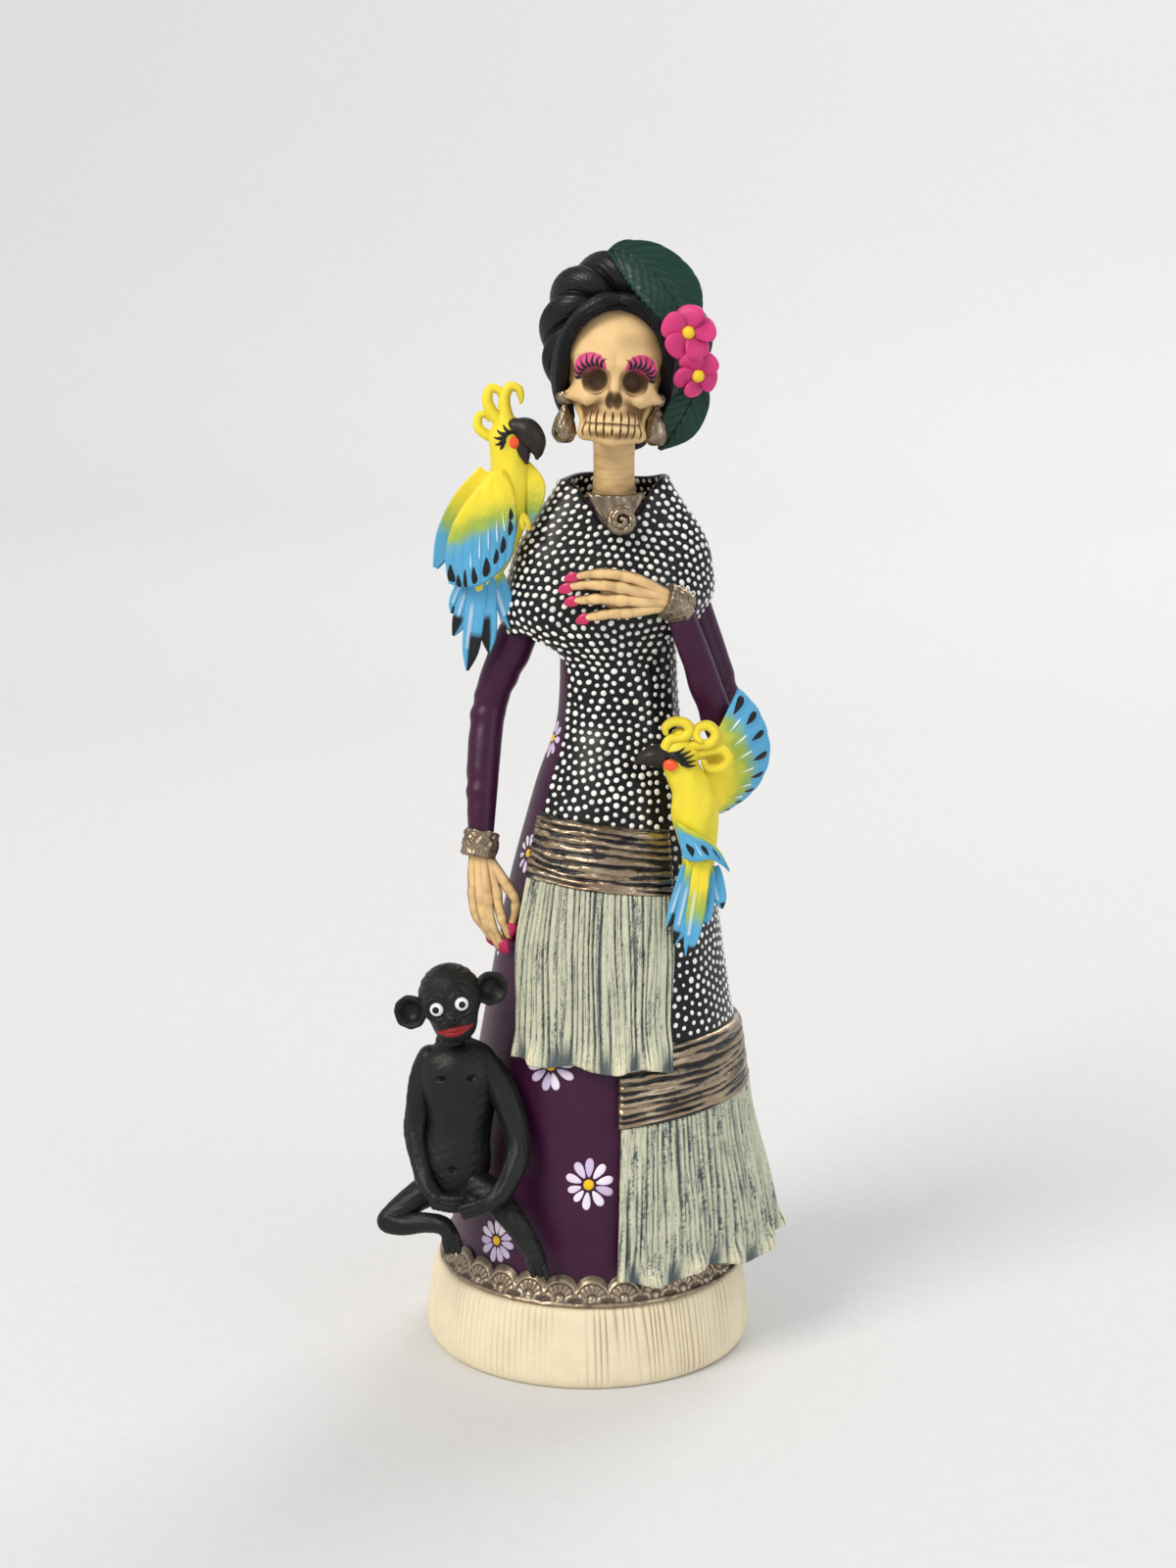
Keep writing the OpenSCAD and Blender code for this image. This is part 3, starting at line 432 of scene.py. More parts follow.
right_arm = [[-10.5, 0, 191, 4.4], [-12.5, 0, 182, 4.4], [-15.4, 0, 174, 4.6],
             [-18.3, -0.5, 167, 4.8], [-21.6, -0.8, 159.5, 4.2], [-23.5, -1.6, 152.4, 4],
             [-24.4, -5.3, 142.5, 3.8], [-24.8, -8, 134, 3.5], [-25, -9.8, 126.4, 3.1]]
left_arm = [[20.8, 0, 190, 4.3], [23.8, 0, 180, 4.3], [29, 0, 165, 4.2], [31.6, 0, 156, 4.2],
            [32.4, -3, 150.6, 4], [31.3, -7.7, 149.7, 3.9], [29.2, -11.2, 155, 3.8],
            [24.6, -15.2, 168, 3.5], [21.4, -17.6, 176.5, 3.2]]
shape, around, along = limb(right_arm, 160, 64, relief=creases(
    [(0.62, 0.06, 4.5), (0.45, 0.08, 0.5), (0.85, 0.06, 4)], 0.28))
piece("right_sleeve_roll", shape, plum_clay, ["right_sleeve"])
shape, around, along = limb(left_arm, 180, 64, side=(1, 0, 0), relief=creases(
    [(0.55, 0.05, 3), (0.36, 0.07, 0.3), (0.8, 0.08, 4)], 0.3))
piece("left_sleeve_roll", shape, plum_clay, ["left_sleeve"])

wire_steel = bpy.data.materials.new("drawn_steel_wire")
wire_steel.use_nodes = True
shader = wire_steel.node_tree.nodes["Principled BSDF"]
stretch = add(wire_steel, "ShaderNodeMapping",
              {"Vector": add(wire_steel, "ShaderNodeTexCoord").outputs["Object"],
               "Scale": (1, 1, 0.05)})
lines = add(wire_steel, "ShaderNodeTexNoise",
            {"Vector": stretch.outputs["Vector"], "Scale": 1 / (0.1 * MM)})
rough = add(wire_steel, "ShaderNodeMapRange", {"Value": lines.outputs["Fac"], "To Min": 0.2,
                                               "To Max": 0.45})
wire_steel.node_tree.links.new(rough.outputs["Result"], shader.inputs["Roughness"])
shader.inputs["Base Color"].default_value = (*linear("#b9bbbe"), 1)
shader.inputs["Metallic"].default_value = 1.0
for wire in ("neck_wire", "arm_wires"):
    for slot in bpy.data.objects[wire].material_slots:
        slot.material = wire_steel

# ---------------------------------------------------------------- shawl
# A rolled sheet of clay round the shoulders with a turned-out collar; its front end hangs from
# the shoulders to the upper band in one sheet, and the other end hangs at her left side.
# It is painted blue-black, and each white dot is a drop of thick paint set with a stick.

SHAWL_T = 1.6  # thickness
FRONT_LEFT, FRONT_RIGHT, SIDE_RIGHT = -140.0, -56.0, 34.0  # edges of both ends, in degrees
SPAN = FRONT_RIGHT - FRONT_LEFT
DROP = 3.4  # how much lower the front end hangs at its right edge than at its left
CORNER = 12.0  # extra degrees at the front end's two inner corners
PER_DEGREE = 0.33  # mm round the dress for a degree
ink_clay = painted_clay("blue_black_satin_acrylic", "#0e0f14", roughness=0.38, uneven=0.12,
                        grain=0.6, dent=0.03)
dot_paint = painted_clay("thick_white_paint_drops", roughness=0.4, uneven=0.05, grain=0.3)


def hem_z(a):
    """Height of the shawl's free hem: lowest behind, highest over her left arm."""
    turn = np.radians(a)
    flare = 1.2 * np.sin(3 * turn + 1) + 0.7 * np.sin(7 * turn)
    return 172.3 + 3.7 * np.maximum(np.cos(turn), 0) ** 2 - 5 * np.maximum(np.sin(turn), 0) + 0.5 * flare


def neck_z(a):
    """Height of the collar's edge: 208, cut down in front by 12 sin^4 to show the necklace."""
    front = np.maximum(-np.sin(np.radians(a)), 0)
    return 208 - 12 * front ** 4 + 0.5 * np.cos(np.radians(3 * a))


def front_foot(a):
    """Height of the front sheet's foot, behind the upper band."""
    return 131.0 - DROP * (a - FRONT_LEFT) / SPAN


def shawl_edge(a, z):
    """Millimetres inside the shawl's outline; the front sheet widens near the hem, which rounds
    its two inner corners."""
    below = np.maximum(hem_z(a) - z, 0)
    shift = CORNER * np.exp(-below / 2.6)
    across = np.minimum(a - FRONT_LEFT + shift, FRONT_RIGHT + shift - a) * PER_DEGREE
    d = np.where(z >= hem_z(a), np.hypot(z - hem_z(a), np.maximum(across, 0)), across)
    return np.minimum(np.minimum(d, neck_z(a) - z), z - front_foot(a))


def shawl(a, z, out=0.0):
    """Sheet of the shawl: an oval round the shoulders that narrows to the dress below the hem."""
    a, z, out = np.broadcast_arrays(a, z, out)
    a = (a + 180) % 360 - 180
    turn = np.radians(a)
    t = np.clip((z - hem_z(a)) / (neck_z(a) - hem_z(a)), -0.4, 1)
    knots = np.array([0, 0.15, 0.3, 0.55, 0.8, 1])
    half_w = smooth(np.array([23.7, 25.2, 24.4, 22, 16.5, 12.6])[:, None],
                    np.interp(t, knots, np.linspace(0, 1, 6)))[..., 0] - 0.9
    half_d = smooth(np.array([15.4, 15.9, 15.6, 14.6, 12.0, 10.6])[:, None],
                    np.interp(t, knots, np.linspace(0, 1, 6)))[..., 0] - 0.9
    middle = np.interp(t, [0, 0.3, 0.6, 0.85, 1], [4.1, 4.6, 4.9, 5.6, 6.1])
    fold = 0.5 * np.sin(5 * turn + 3 * t) + 0.35 * wander(np.cos(turn) + t, np.sin(turn) + t, 41)
    fold = fold * (1 - 0.5 * t)
    wide = np.stack([middle + (half_w + fold + out) * np.cos(turn),
                     (half_d + fold + out) * np.sin(turn), z], -1)
    pull = 0.22 * np.sin(radians(1) * (a * 9 + z * 14)) * np.exp(-((z - 166) / 9) ** 2)
    near = on_dress(a, z, 0.95 + out + pull + 0.12 * wander(2 * np.cos(turn) + z / 14, 2 * np.sin(turn), 42))
    in_front = ease((a - FRONT_LEFT + 16) / 14) * ease((FRONT_RIGHT + 16 - a) / 14)
    return mix(wide, near, ease((175.5 - z) / 11) * in_front)


def spread(low, high, count, edge=0.35):
    """Values from low to high that crowd together towards both ends."""
    t = np.linspace(0, 1, count)
    return low + (high - low) * mix(t, 0.5 - 0.5 * np.cos(np.pi * t), edge)


def rounded(d, rim):
    """Rise of a rounded rim, 0 at the outline to 1 at rim inside it: sqrt(1 - (1 - d/rim)^2)."""
    return np.sqrt(np.clip(1 - (1 - np.clip(d / rim, 0, 1)) ** 2, 0, 1))


def sheet(surface, u, v, thick, edge, front=0.0, back=0.0, rim=0.7):
    """Closed thin sheet: both faces of surface(u, v), meeting where edge, in mm, is 0."""
    e = rounded(edge, rim)
    return [surface(u, v, e * (thick / 2 + front)), surface(u, v, -e * (thick / 2 - back))]


left_edge, right_edge = FRONT_LEFT - CORNER, FRONT_RIGHT + CORNER
circle = np.concatenate([np.linspace(right_edge, left_edge + 360, 170)[:-1],
                         spread(left_edge, right_edge, 130) + 360])
a, v = np.meshgrid(circle, spread(0, 1, 58, 0.6))
z = mix(hem_z(a), neck_z(a), v)
upper = sheet(shawl, a, z, SHAWL_T, shawl_edge((a + 180) % 360 - 180, z))
s, v = np.meshgrid(spread(0, 1, 130), spread(0, 1, 90, 0.3))
a = mix(left_edge, right_edge, s)
z = mix(front_foot(a), hem_z(a), v)
narrow = CORNER * (1 - np.exp(-(hem_z(a) - z) / 2.6))
a = mix(left_edge + narrow, right_edge - narrow, s)
edge = np.minimum(np.minimum(s, 1 - s) * (right_edge - left_edge) * PER_DEGREE, v * 40)
lower = sheet(shawl, a, z, SHAWL_T, edge)
piece("shawl_cloth", upper + lower, ink_clay, ["shawl_wrap", "shawl_front_end"],
      wrap=False)


def lower_band_head(a):
    """Height of the lower band's upper edge, which is highest a third of the way round."""
    return np.interp(a, [-84, -60, -20, 40], [78.4, 80.2, 79.8, 78.6])


def side_end(a, z, out=0.0):
    """Sheet at her left side: on the dress, standing off it a little more towards its foot."""
    return on_dress(a, z, mix(2.2, 0.9, ease((z - 75) / 30)) + out
                    + 0.12 * wander(np.asarray(a) / 25, np.asarray(z) / 18, 43))


def side_edge(a, z):
    """Millimetres inside the outline of the side end."""
    return np.minimum(np.minimum(a - FRONT_RIGHT + 4, SIDE_RIGHT - a) * 0.4, z - lower_band_head(a))


u, v = np.meshgrid(spread(FRONT_RIGHT - 4, SIDE_RIGHT, 96), spread(0, 1, 96))
z = mix(lower_band_head(u) - 1, 172, v)
piece("shawl_side_cloth", sheet(side_end, u, z, SHAWL_T, side_edge(u, z) + (v < 0.5) * (v > 0)),
      ink_clay, ["shawl_side_end"], wrap=False)


def scatter(surface, edge, low, high, apart, seed, tries=70000):
    """Places (angle, height) on a surface, 1 mm or more inside the edge: random ones at least
    apart mm from each other, which then push their neighbours away until they lie evenly."""
    rng = np.random.default_rng(seed)
    place = rng.uniform(low, high, (tries, 2))
    per_a, per_z = scale_at(surface, place[:, 0], place[:, 1])
    even = per_a * per_z > rng.uniform(0, (per_a * per_z).max(), tries)
    place = place[even & (edge(place[:, 0], place[:, 1]) > 1.0)]
    points = surface(place[:, 0], place[:, 1])
    kept = np.full(points.shape, 1e6)
    chosen = []
    for k, point in enumerate(points):
        if ((kept[:len(chosen) + 1] - point) ** 2).sum(1).min() > apart ** 2:
            kept[len(chosen)] = point
            chosen.append(k)
    place = place[chosen]
    for _ in range(16):
        a, z = place.T
        p = surface(a, z)
        gap = p[:, None] - p
        far = np.linalg.norm(gap, axis=-1) + 1e6 * np.eye(len(p))
        push = (gap * (np.clip(1 - far / (1.5 * apart), 0, 1) / far)[..., None]).sum(1) * apart / 2
        step_a = (surface(a + 0.05, z) - surface(a - 0.05, z)) / 0.1
        step_z = (surface(a, z + 0.05) - surface(a, z - 0.05)) / 0.1
        move = np.stack([(push * s).sum(1) / (s ** 2).sum(1) for s in (step_a, step_z)], -1)
        free = edge(*(place + move).T) > 1.0
        place[free] += move[free]
    return place


def dots(name, surface, place, facing, seed):
    """Drops of paint 1.0 to 1.4 mm wide at places on a surface, a little oval and uneven."""
    rng = np.random.default_rng(seed)
    n = len(place)
    per_u, per_v = scale_at(surface, place[:, 0], place[:, 1])
    turn, size = rng.uniform(0, 2 * np.pi, n), rng.normal(0.63, 0.07, n)
    oval = size * rng.uniform(0.84, 1.0, n)
    long = np.stack([np.cos(turn) / per_u, np.sin(turn) / per_v], -1) * size[:, None]
    wide = np.stack([-np.sin(turn) / per_u, np.cos(turn) / per_v], -1) * oval[:, None]
    t = np.linspace(0, 2 * np.pi, 8, endpoint=False)[:, None]
    ring = np.array([0, 0.62, 1, 1, 0])[None, :, None, None]
    rise = np.array([0.26, 0.2, 0.02, -0.3, -0.3])[None, :, None, None]
    uv = place[:, None, None] + ring * (np.cos(t) * long[:, None, None]
                                        + np.sin(t) * wide[:, None, None])
    u, v = uv[..., 0], uv[..., 1]
    base = surface(u, v)
    normal = unit(np.cross(surface(u + 0.02, v) - base, surface(u, v + 0.02) - base))
    grids = base + facing * normal * (SHAWL_T / 2 + rise)
    shade = np.where(rng.uniform(0, 1, n) < 0.05, 0.75, 1.0) * rng.uniform(0.92, 1, n)
    piece(name, list(grids), dot_paint,
          paint=list(linear("#fbfaf4") * shade[:, None]))


dots("shawl_dots", shawl, scatter(shawl, shawl_edge, (-180, 128), (180, 209), 1.48, 51), 1, 52)
collar = scatter(shawl, lambda a, z: np.minimum(shawl_edge(a, z), z - neck_z(a) + 9),
                 (-180, 180), (180, 209), 1.48, 53, 20000)
dots("shawl_collar_lining_dots", shawl, collar, -1, 54)


def beside_front(a, z):
    """Millimetres inside the part of the side end that the front sheet leaves in sight."""
    shift = CORNER * np.exp(-np.maximum(hem_z(a) - z, 0) / 2.6)
    covered = (a - FRONT_RIGHT - shift) * PER_DEGREE - 0.5
    return np.minimum(side_edge(a, z), np.where(z > front_foot(a) - 4, covered, 9))


dots("shawl_side_dots", side_end,
     scatter(side_end, beside_front, (FRONT_RIGHT - 4, 70), (SIDE_RIGHT, 172), 1.75, 55), 1, 56)

# ---------------------------------------------------------------- upper and lower bands
# Rolled strips laid across the foot of each shawl end and combed into about eight wavy ridges,
# painted silver-bronze, with black brushed into the grooves.


def streaks(shape, down, across, seed):
    """Dry-brushed noise with a spread of 1: random values summed over 2 down + 1 rows and
    2 across + 1 columns of the grid."""
    noise = np.random.default_rng(seed).normal(size=shape)
    for axis, reach in ((0, down), (1, across)):
        noise = sum(np.roll(noise, k, axis) for k in range(-reach, reach + 1)) / np.sqrt(2 * reach + 1)
    return noise


def ridges(across, height, seed):
    """Wavy ridges along a strip, 1 on a ridge and 0 in a groove; some grooves run out."""
    warp = 0.42 * wander(across / 24, height / 12, seed) + 0.07 * wander(across / 5, height / 5,
                                                                         seed + 1)
    wave = np.abs(np.sin(np.pi * (height / 1.7 + warp)))
    press = np.clip(0.85 + 0.5 * wander(across / 12, height / 3.2, seed + 2), 0.15, 1)
    return 1 - press * (1 - wave) ** 1.1


def band(name, node, surface, left, right, foot, head, thick, seed):
    """Combed strip between the heights foot(a) and head(a), from angle left to right."""
    a, v = np.meshgrid(spread(left, right, 190), spread(0, 1, 96, 0.5))
    z = mix(foot(a), head(a), v)
    across = a * PER_DEGREE
    comb = ridges(across, z - foot(a), seed)
    edge = np.minimum(np.minimum(a - left, right - a) * 0.35, np.minimum(v, 1 - v) * 14)
    dry = streaks(a.shape, 1, 7, seed + 5)
    relief = (0.8 * comb - 0.5) + 0.07 * wander(across / 2, z / 2, seed + 3) + 0.05 * dry
    brush = 0.24 * wander(across / 12, (z - foot(a)) / 3.2, seed + 4) + 0.12 * dry
    black = ease((0.88 + brush - comb) / 0.26)
    metal = mix(BRONZE, linear("#8c7963"), np.clip(0.4 + 0.4 * wander(across / 6, z / 6, seed), 0, 1))
    paint = np.concatenate([mix(metal, linear("#131215"), black),
                            1 - 0.95 * black[..., None]], -1)
    piece(name, sheet(surface, a, z, thick, edge, front=relief, rim=0.9), bronze_paint, [node],
          [paint, paint], wrap=False)


def front_band(a, z, out=0.0):
    """Middle of the upper band: 1.7 mm off the dress."""
    return on_dress(a, z, 1.75 + out)


def side_turn(a):
    """0 at her front to 1 at her left side."""
    return ease((a + 60) / 60)


def lower_band_foot(a):
    """Height of the lower band's lower edge."""
    return 60.6 + 3.2 * (a + 82) / 82


def side_band(a, z, out=0.0):
    """Middle of the lower band, which stands off the dress more at her side."""
    return on_dress(a, z, mix(1.8, 3.3 + (81 - z) * 0.06, side_turn(a)) + out)


band("upper_band_combed", "upper_band", front_band, -141.5, -54.5,
     lambda a: front_foot(a) - 14.6, lambda a: front_foot(a) + 0.8, 2.3, 61)
band("lower_band_combed", "lower_band", side_band, -83.0, 35.5, lower_band_foot, lower_band_head,
     2.3, 71)

# ---------------------------------------------------------------- upper and lower fringes
# Sheets of clay scored from top to bottom into threads with a needle. They are painted a pale
# straw green with patches of slate wash; slate also darkens the grooves and the hollows between
# the round tufts at the ends as painted shade, and the tufts' tops are paler as painted highlight.

STRAW = linear("#c9cab0")
SLATE = linear("#3d4c57")
FRINGE_LONG = 44  # mm, the length that the threads' pattern is scaled by
straw_clay = painted_clay("straw_acrylic_with_slate_wash_and_painted_shade", roughness=0.6, uneven=0.08, grain=0.35,
                          dent=0.06)


def threads(across, down, seed):
    """Scored threads, 1 on a thread and 0 between; they wander, part and meet going down."""
    warp = (0.5 * wander(across / 9, down / 70, seed) + 0.16 * wander(across / 3, down / 45,
                                                                      seed + 1))
    main = np.abs(np.sin(np.pi * (across / 1.6 + warp)))
    fine = np.abs(np.sin(np.pi * (across / 0.74 + 2.2 * warp + 0.2)))
    depth = np.clip(0.7 + 0.4 * wander(across / 3, down / 50, seed + 2), 0.2, 1)
    thin = np.clip(0.5 + 0.5 * wander(across / 2.2, down / 34, seed + 3), 0, 1)
    return 1 - depth * (1 - main) ** 1.5 - 0.5 * thin * (1 - fine) ** 1.6


def fringe(name, node, surface, width, tufts, seed):
    """Scored sheet of surface(s, t): s from 0 to 1 across, t from 0 at the foot to 1."""
    s, t = np.meshgrid(spread(0, 1, 250, 0.25), spread(0, 1, 108, 0.45))
    across, down = s * width, (1 - t) * FRINGE_LONG
    score = threads(across, down, seed)
    lump = np.cos(2 * np.pi * (tufts * s + 0.2 * np.sin(9 * s) + 0.1 * wander(s * 3, t, seed + 7)))
    low = ease((0.17 - t) / 0.15)
    relief = 1.1 * (score - 0.8) * (1 - 0.6 * low) + low * (1.4 * lump + 0.3)
    edge = np.minimum(np.minimum(s, 1 - s) * width, np.minimum(t, 1 - t) * FRINGE_LONG)
    hollow = low * ease((-lump - 0.3) / 0.6)
    dry = 0.6 * streaks(s.shape, 4, 0, seed + 5) + 0.5 * streaks(s.shape, 0, 0, seed + 6)
    # Painted shade: slate darkens the grooves and the hollows between the tufts; the patches and dry streaks
    # of slate are paint.
    slate = (1 - ease((score - 0.3 - 0.12 * dry) / 0.5)) * (1 - 0.5 * low) + 0.9 * hollow
    wash = ease((wander(across / 3.4, down / 26, seed + 9) - 0.25) / 0.5) * (1 - low)
    slate = np.clip(slate + (0.36 + 0.5 * wash) * ease((dry + 0.5 * wash - 0.3) / 0.8), 0, 0.92)
    # Painted highlight: the tufts' tops are a paler cream.
    cream = mix(STRAW, linear("#e2dcba"), low * ease(lump + 0.3))
    colour = mix(cream, SLATE, slate)
    shape = sheet(surface, s, t, 2.3, edge, front=relief, back=0.3 * (score - 0.6), rim=1.1)
    piece(name, shape, straw_clay, [node], [colour, colour], wrap=False)


def upper_sheet(s, t, out=0.0):
    """Middle of the upper fringe: narrower at its foot, which lies over the lower band."""
    t = np.asarray(t, float)
    top = mix(FRONT_LEFT, FRONT_RIGHT, s)
    a = mix(mix(-129.5, -61, s), top, ease(1.4 * t))
    z = mix(75.4 + 0.7 * np.cos(2 * np.pi * 2.5 * s) - 1.2 * s, 117.2 - 3.4 * s, t)
    over_band = 1.9 * ease((s - 0.5) / 0.2) * ease((0.3 - t) / 0.25)
    return on_dress(a, z, mix(2.7, 1.7, ease(2 * t)) + over_band + out)


def lower_sheet(s, t, out=0.0):
    """Middle of the lower fringe: it flares away from the skirt towards its foot at her side."""
    t = np.asarray(t, float)
    a = mix(-81.5, 34.5, s)
    foot = 25 + 1.3 * np.cos(2 * np.pi * 3 * s + 0.4) - 0.8 * s
    z = mix(foot, lower_band_foot(a) + 0.6, t)
    gap = mix(mix(3.6, 11.2, side_turn(a)), mix(1.8, 4.4, side_turn(a)), ease(0.2 + 0.8 * t))
    return on_dress(a, z, gap + out)


fringe("upper_fringe_threads", "upper_fringe", upper_sheet, 42, 4.5, 81)
fringe("lower_fringe_threads", "lower_fringe", lower_sheet, 72, 7.5, 91)

# ---------------------------------------------------------------- bracelets
# Wide cuffs of clay round the wrists, tapped all over with a blunt tool while soft and painted
# with the silver-bronze paint.


def turned(profile, at, axis, sides=96, relief=None):
    """Form of a closed outline of (radius, height) points turned about an axis through at."""
    axis = unit(np.array(axis, float))
    u = unit(np.cross(axis, (0.3, 0.9, 0.2)))
    v = np.cross(axis, u)
    p = np.asarray(profile, float)
    a = np.linspace(0, 2 * np.pi, sides, endpoint=False)[None, :]
    r = p[:, :1] + (relief(a, p[:, 1:]) * (p[:, :1] > 0.05) if relief else 0)
    return (np.array(at) + p[:, 1:, None] * axis
            + r[..., None] * (np.cos(a)[..., None] * u + np.sin(a)[..., None] * v))


def hammered(seed, depth=0.16, size=1.3):
    """Relief of small tapped facets about size mm across."""
    return lambda a, h: depth * wander(a * 3.6 / size, h / size, seed, 9)


cuff_metal = painted_clay("hammered_bronze_paint", roughness=0.3, uneven=0.18, grain=0.5,
                          dent=0.08, metallic=True, shine=0.5)


def worn(shape, seed, amount=0.5):
    """Bronze paint with dark wash in patches: colour and metal share for each point."""
    dark = amount * np.clip(0.5 + 0.5 * wander(shape[..., 0] / 2.2 + shape[..., 1] / 3,
                                               shape[..., 2] / 2.2, seed), 0, 1)
    return np.concatenate([mix(0.72 * BRONZE, BRONZE_DARK, dark),
                           1 - 0.6 * dark[..., None]], -1)


def cuff(name, node, at, axis, inner, outer, height, seed):
    """Cuff with rounded rims round a wrist."""
    h = height / 2
    outside = np.linspace(-h + 0.5, h - 0.5, 26)
    belly = outer + 0.12 * np.cos(outside * 1.6)
    rim = np.array([[outer - 0.5, h], [outer - 1.2, h], [inner, h - 0.4]])
    loop = np.concatenate([[[inner, -h + 0.4], [outer - 1.2, -h], [outer - 0.5, -h]],
                           np.stack([belly, outside], -1), rim, [[inner, -h + 0.4]]])
    shape = turned(loop, at, axis, relief=hammered(seed))
    piece(name, shape, cuff_metal, [node], worn(shape, seed, 0.5))


right_wrist, left_wrist = (-25.2, -10.5, 123.2), (19.9, -18.5, 180.3)
cuff("right_cuff", "right_bracelet", right_wrist, (-0.2, -0.25, -1), 1.1, 4.2, 6.4, 101)
cuff("left_cuff", "left_bracelet", left_wrist, (-1, -0.35, 0.42), 1.1, 4.1, 6.2, 102)

# ---------------------------------------------------------------- hands
# Thin rolls of clay laid side by side from wrist to fingertip, so that every bone shows, with
# knuckles pinched in. They are bone coloured with painted shade in brown at the fingers' sides,
# behind the joints and over the palm, and the nails are crimson.

BONE = linear("#e6c28a")
BONE_SHADE = linear("#5f3a1a")
bone_clay = painted_clay("bone_acrylic_with_painted_shade", roughness=0.52, uneven=0.1, grain=0.5,
                         dent=0.05)
nail_paint = painted_clay("crimson_gloss_nails", "#c72d5e", roughness=0.28, uneven=0.06,
                          coat=0.3)


def finger(points, seed):
    """One bony finger with swollen joints; painted shade darkens its sides, which turn away
    from the front, and the creases behind the joints.
    """
    joints = (0.42, 0.72)
    knob = lambda a, t: sum(0.14 * np.exp(-((t - j) / 0.05) ** 2) for j in joints) + (
        0.06 * wander(a / 2, t * 6, seed))
    shape, a, t = limb(points, 60, 22, relief=knob)
    ring = sum(np.exp(-((t - j - s) / 0.02) ** 2) for j in joints for s in (-0.07, 0.07))
    outward = np.gradient(shape, axis=0)
    normal = unit(np.cross(np.roll(shape, -1, 1) - np.roll(shape, 1, 1), outward))
    facing = np.abs(normal[..., 1])
    dark = np.clip(1.0 * (1 - ease(facing * 1.35 - 0.15)) + 0.2 * ring
                   + 0.15 * wander(t * 5, a / 2, seed + 1), 0, 0.9)
    return shape, mix(BONE, BONE_SHADE, dark)


def hand(name, node, fingers, palm, side, seed):
    """Fingers in a row over a flat palm."""
    shapes = [finger(points, seed + k) for k, points in enumerate(fingers)]
    # The palm is painted darker all over, as shade behind the fingers.
    shapes.append((limb(palm, 40, 36, side=side, flat=0.42)[0], mix(BONE, BONE_SHADE, 0.55)))
    piece(name, [s for s, c in shapes], bone_clay, [node], [c for s, c in shapes])


def pebble(at, along, across, length, width, thick, taper=0.0, dome=2.0, rows=12, sides=28,
           bend=0.0):
    """Closed flat pebble on an oval outline, narrower by taper towards its start at at.

    A point is at + length (1 + r cos a)/2 along + width r sin a (1 + taper cos a)/2 across, and
    its two faces stand (1 - r^dome)^0.5 thick/2 off that; bend lifts it by bend x^2.
    """
    along, across = unit(np.array(along, float)), np.array(across, float)
    across = unit(across - along * (along @ across))
    up = np.cross(along, across)
    r = np.sin(np.linspace(0, np.pi, 2 * rows))[:, None]
    sign = np.sign(np.cos(np.linspace(0, np.pi, 2 * rows)))[:, None]
    a = np.linspace(0, 2 * np.pi, sides, endpoint=False)[None, :]
    x = length * (1 + r * np.cos(a)) / 2
    y = width * r * np.sin(a) * (1 + taper * np.cos(a)) / 2
    z = sign * np.sqrt(np.clip(1 - r ** dome, 0, 1)) * thick / 2 + 0 * a + bend * x ** 2
    return np.array(at) + x[..., None] * along + y[..., None] * across + z[..., None] * up


hand("right_hand_bones", "right_hand", [
    [[-26.6, -11.4, 121, 1.2], [-26.8, -12.6, 113.8, 1.3], [-26.2, -13.4, 107.4, 1.15],
     [-22.7, -13.2, 101.4, 0.85]],
    [[-25.6, -11.9, 121, 1.2], [-25.1, -13.6, 113.3, 1.35], [-24.2, -14.3, 106.2, 1.15],
     [-20.9, -14.1, 99.6, 0.85]],
    [[-24.6, -11.9, 121, 1.2], [-23.7, -13.6, 113, 1.35], [-22.7, -14.3, 105.5, 1.15],
     [-19.9, -14.2, 99.2, 0.85]],
    [[-23.5, -11.5, 121, 1.2], [-21.8, -12.8, 114, 1.3], [-20.4, -14, 107, 1.15],
     [-18.6, -13.8, 102, 0.85]],
    [[-23.4, -11.2, 120, 1.3], [-19.4, -12.9, 114.5, 1.3], [-16.8, -13.5, 110, 1.2],
     [-17.9, -13.6, 104.6, 0.9]]],
     [[-25.2, -10.8, 121.5, 2.2], [-25.1, -11.6, 116.5, 3.1], [-24.5, -12.4, 110.5, 3.3]],
     (1, 0, 0), 111)
hand("left_hand_bones", "left_hand", [
    [[17.6, -20.1, 182.8, 1.2], [10.5, -21.3, 186.2, 1.35], [3.6, -21, 187.4, 1.2],
     [-3.2, -18.6, 186.4, 0.85]],
    [[17.5, -20.5, 181.8, 1.2], [9.5, -21.7, 183.9, 1.35], [2.4, -21.2, 184.9, 1.2],
     [-4.6, -18.9, 184.3, 0.85]],
    [[17.4, -20.5, 180.8, 1.2], [9.5, -21.6, 181.4, 1.35], [2.6, -21, 181.7, 1.2],
     [-3.2, -19.1, 181.2, 0.85]],
    [[17.3, -20, 179.8, 1.2], [10.2, -21, 178.9, 1.3], [4.4, -20.6, 178.2, 1.15],
     [-0.7, -19, 177.3, 0.85]],
    [[17.2, -19.6, 182.8, 1.2], [12.4, -19.2, 184.8, 1.25], [8.2, -18.8, 185.8, 1.15],
     [4.6, -18.2, 185.8, 0.85]]],
     [[17.8, -19.4, 181.3, 2.3], [13, -19.9, 182.2, 4.1], [8, -20, 182.8, 4.3],
      [4, -20, 183, 3]], (0, 0, 1), 121)
